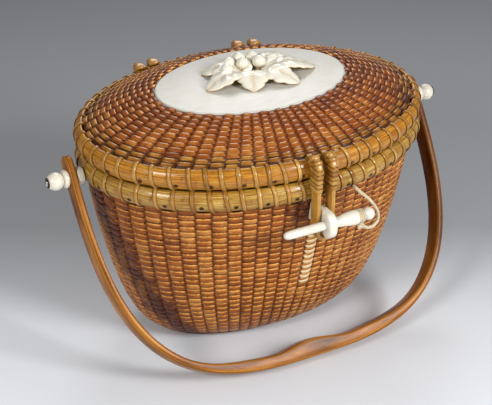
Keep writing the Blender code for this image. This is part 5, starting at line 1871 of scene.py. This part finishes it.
# Heading in degrees, start, length, width, rise, lean and teeth of each leaf.
LEAVES = ((196, 0.006, 0.034, 0.0205, 0.0056, 0.12, 4),
          (-112, 0.002, 0.026, 0.0220, 0.0058, 0.0, 4),
          (-52, 0.005, 0.032, 0.0200, 0.0060, 0.14, 4),
          (-12, 0.011, 0.036, 0.0220, 0.0064, -0.10, 5),
          (28, 0.010, 0.030, 0.0180, 0.0054, -0.12, 4),
          (154, 0.006, 0.028, 0.0165, 0.0052, -0.10, 4),
          (92, 0.002, 0.018, 0.0140, 0.0048, 0.0, 3))
# Place on the plaque, radius and height of each berry.
BERRIES = ((-0.0165, 0.0035, 0.0046, 0.0052), (-0.0105, 0.0120, 0.0046, 0.0056),
           (-0.0010, 0.0155, 0.0047, 0.0058), (0.0085, 0.0135, 0.0046, 0.0056),
           (0.0090, 0.0040, 0.0047, 0.0064), (-0.0030, 0.0055, 0.0044, 0.0066))


def leaf_half_width(t, width, teeth):
    """Half width of a leaf at a share of its length: full near its foot, lobed at its edge."""
    half = width / 2 * sin(pi * (0.10 + 0.87 * t ** 1.15)) ** 0.75
    return half * (0.86 + 0.18 * abs(sin(pi * teeth * t)))


def leaf_height(t, v, half, rise, lean, teeth):
    """Height of a leaf's upper face: an arch, folded along the midrib, with veins and a lean."""
    vein = VEIN_HEIGHT * cos(2 * pi * (teeth * t - abs(v) * 1.1)) * (1 - abs(v) ** 4)
    fold = 0.0022 * abs(v) ** 1.2 - 0.0034 * abs(v) ** 3
    arch = LEAF_THICKNESS + rise * sin(pi * t ** 0.75)
    return max(arch + (fold + vein + lean * v * half) * sin(pi * t), LEAF_THICKNESS)


def add_leaf(shape, heading, start, length, width, rise, lean, teeth):
    """One leaf blade: a curved sheet that leaves the plaque, rises and comes down to its tip."""
    dirt_layer = shape.verts.layers.float["dirt"]
    along = Vector((cos(heading), sin(heading), 0.0))
    side = Vector((-sin(heading), cos(heading), 0.0))
    upper = []
    lower = []
    for under, grid in ((False, upper), (True, lower)):
        for i in range(LEAF_STEPS + 1):
            t = i / LEAF_STEPS
            half = leaf_half_width(t, width, teeth)
            row = []
            for j in range(-LEAF_HALF_STEPS, LEAF_HALF_STEPS + 1):
                v = j / LEAF_HALF_STEPS
                height = leaf_height(t, v, half, rise, lean, teeth)
                hollow = 0.45 * nearness(v, 0.0, 0.25)
                dirt = max(hollow, 0.55 * max(0.0, 1.0 - height / 0.0024))
                if under:
                    height -= LEAF_THICKNESS * (1.3 - 0.6 * abs(v) ** 4)
                    dirt = 0.9
                point = SPRIG_CENTRE + along * (start + length * t) + side * half * v
                vert = shape.verts.new(point + Vector((0.0, 0.0, height)))
                vert[dirt_layer] = dirt
                row.append(vert)
            grid.append(row)
    span = 2 * LEAF_HALF_STEPS
    for i in range(LEAF_STEPS):
        for j in range(span):
            shape.faces.new((upper[i][j], upper[i][j + 1], upper[i + 1][j + 1], upper[i + 1][j]))
            shape.faces.new((lower[i][j], lower[i + 1][j], lower[i + 1][j + 1], lower[i][j + 1]))
        for j in (0, span):
            shape.faces.new((upper[i][j], upper[i + 1][j], lower[i + 1][j], lower[i][j]))
    for i in (0, LEAF_STEPS):
        for j in range(span):
            shape.faces.new((upper[i][j], upper[i][j + 1], lower[i][j + 1], lower[i][j]))


def add_berry(shape, x, y, radius, height):
    """Round berry on a stalk as thick as a carver has to leave it."""
    dirt_layer = shape.verts.layers.float["dirt"]
    centre = SPRIG_CENTRE + Vector((x, y, height))
    outline = arc(radius, 0.0, 0.0, pi * 0.86, 16)
    outline += [(radius * 0.42, -height - 0.0005), (0.0, -height - 0.0005)]
    known = set(shape.verts)
    add_turned(shape, outline, Matrix.Translation(centre), 24)
    for vert in set(shape.verts) - known:
        low = max(0.0, 1.0 - (vert.co.z - SPRIG_CENTRE.z) / (height * 0.9))
        vert[dirt_layer] = min(low, 0.9)


sprig_shape = bmesh.new()
sprig_shape.verts.layers.float.new("dirt")
for heading, *sizes in LEAVES:
    add_leaf(sprig_shape, radians(heading), *sizes)
for berry in BERRIES:
    add_berry(sprig_shape, *berry)
sprig = keep_mesh("sprig_of_leaves", sprig_shape)
sprig.data.set_sharp_from_angle(angle=radians(70))
settle(sprig, "lid", "bone", "carved_sprig", material=carved_bone)
print("sprig has", len(sprig.data.polygons), "faces")
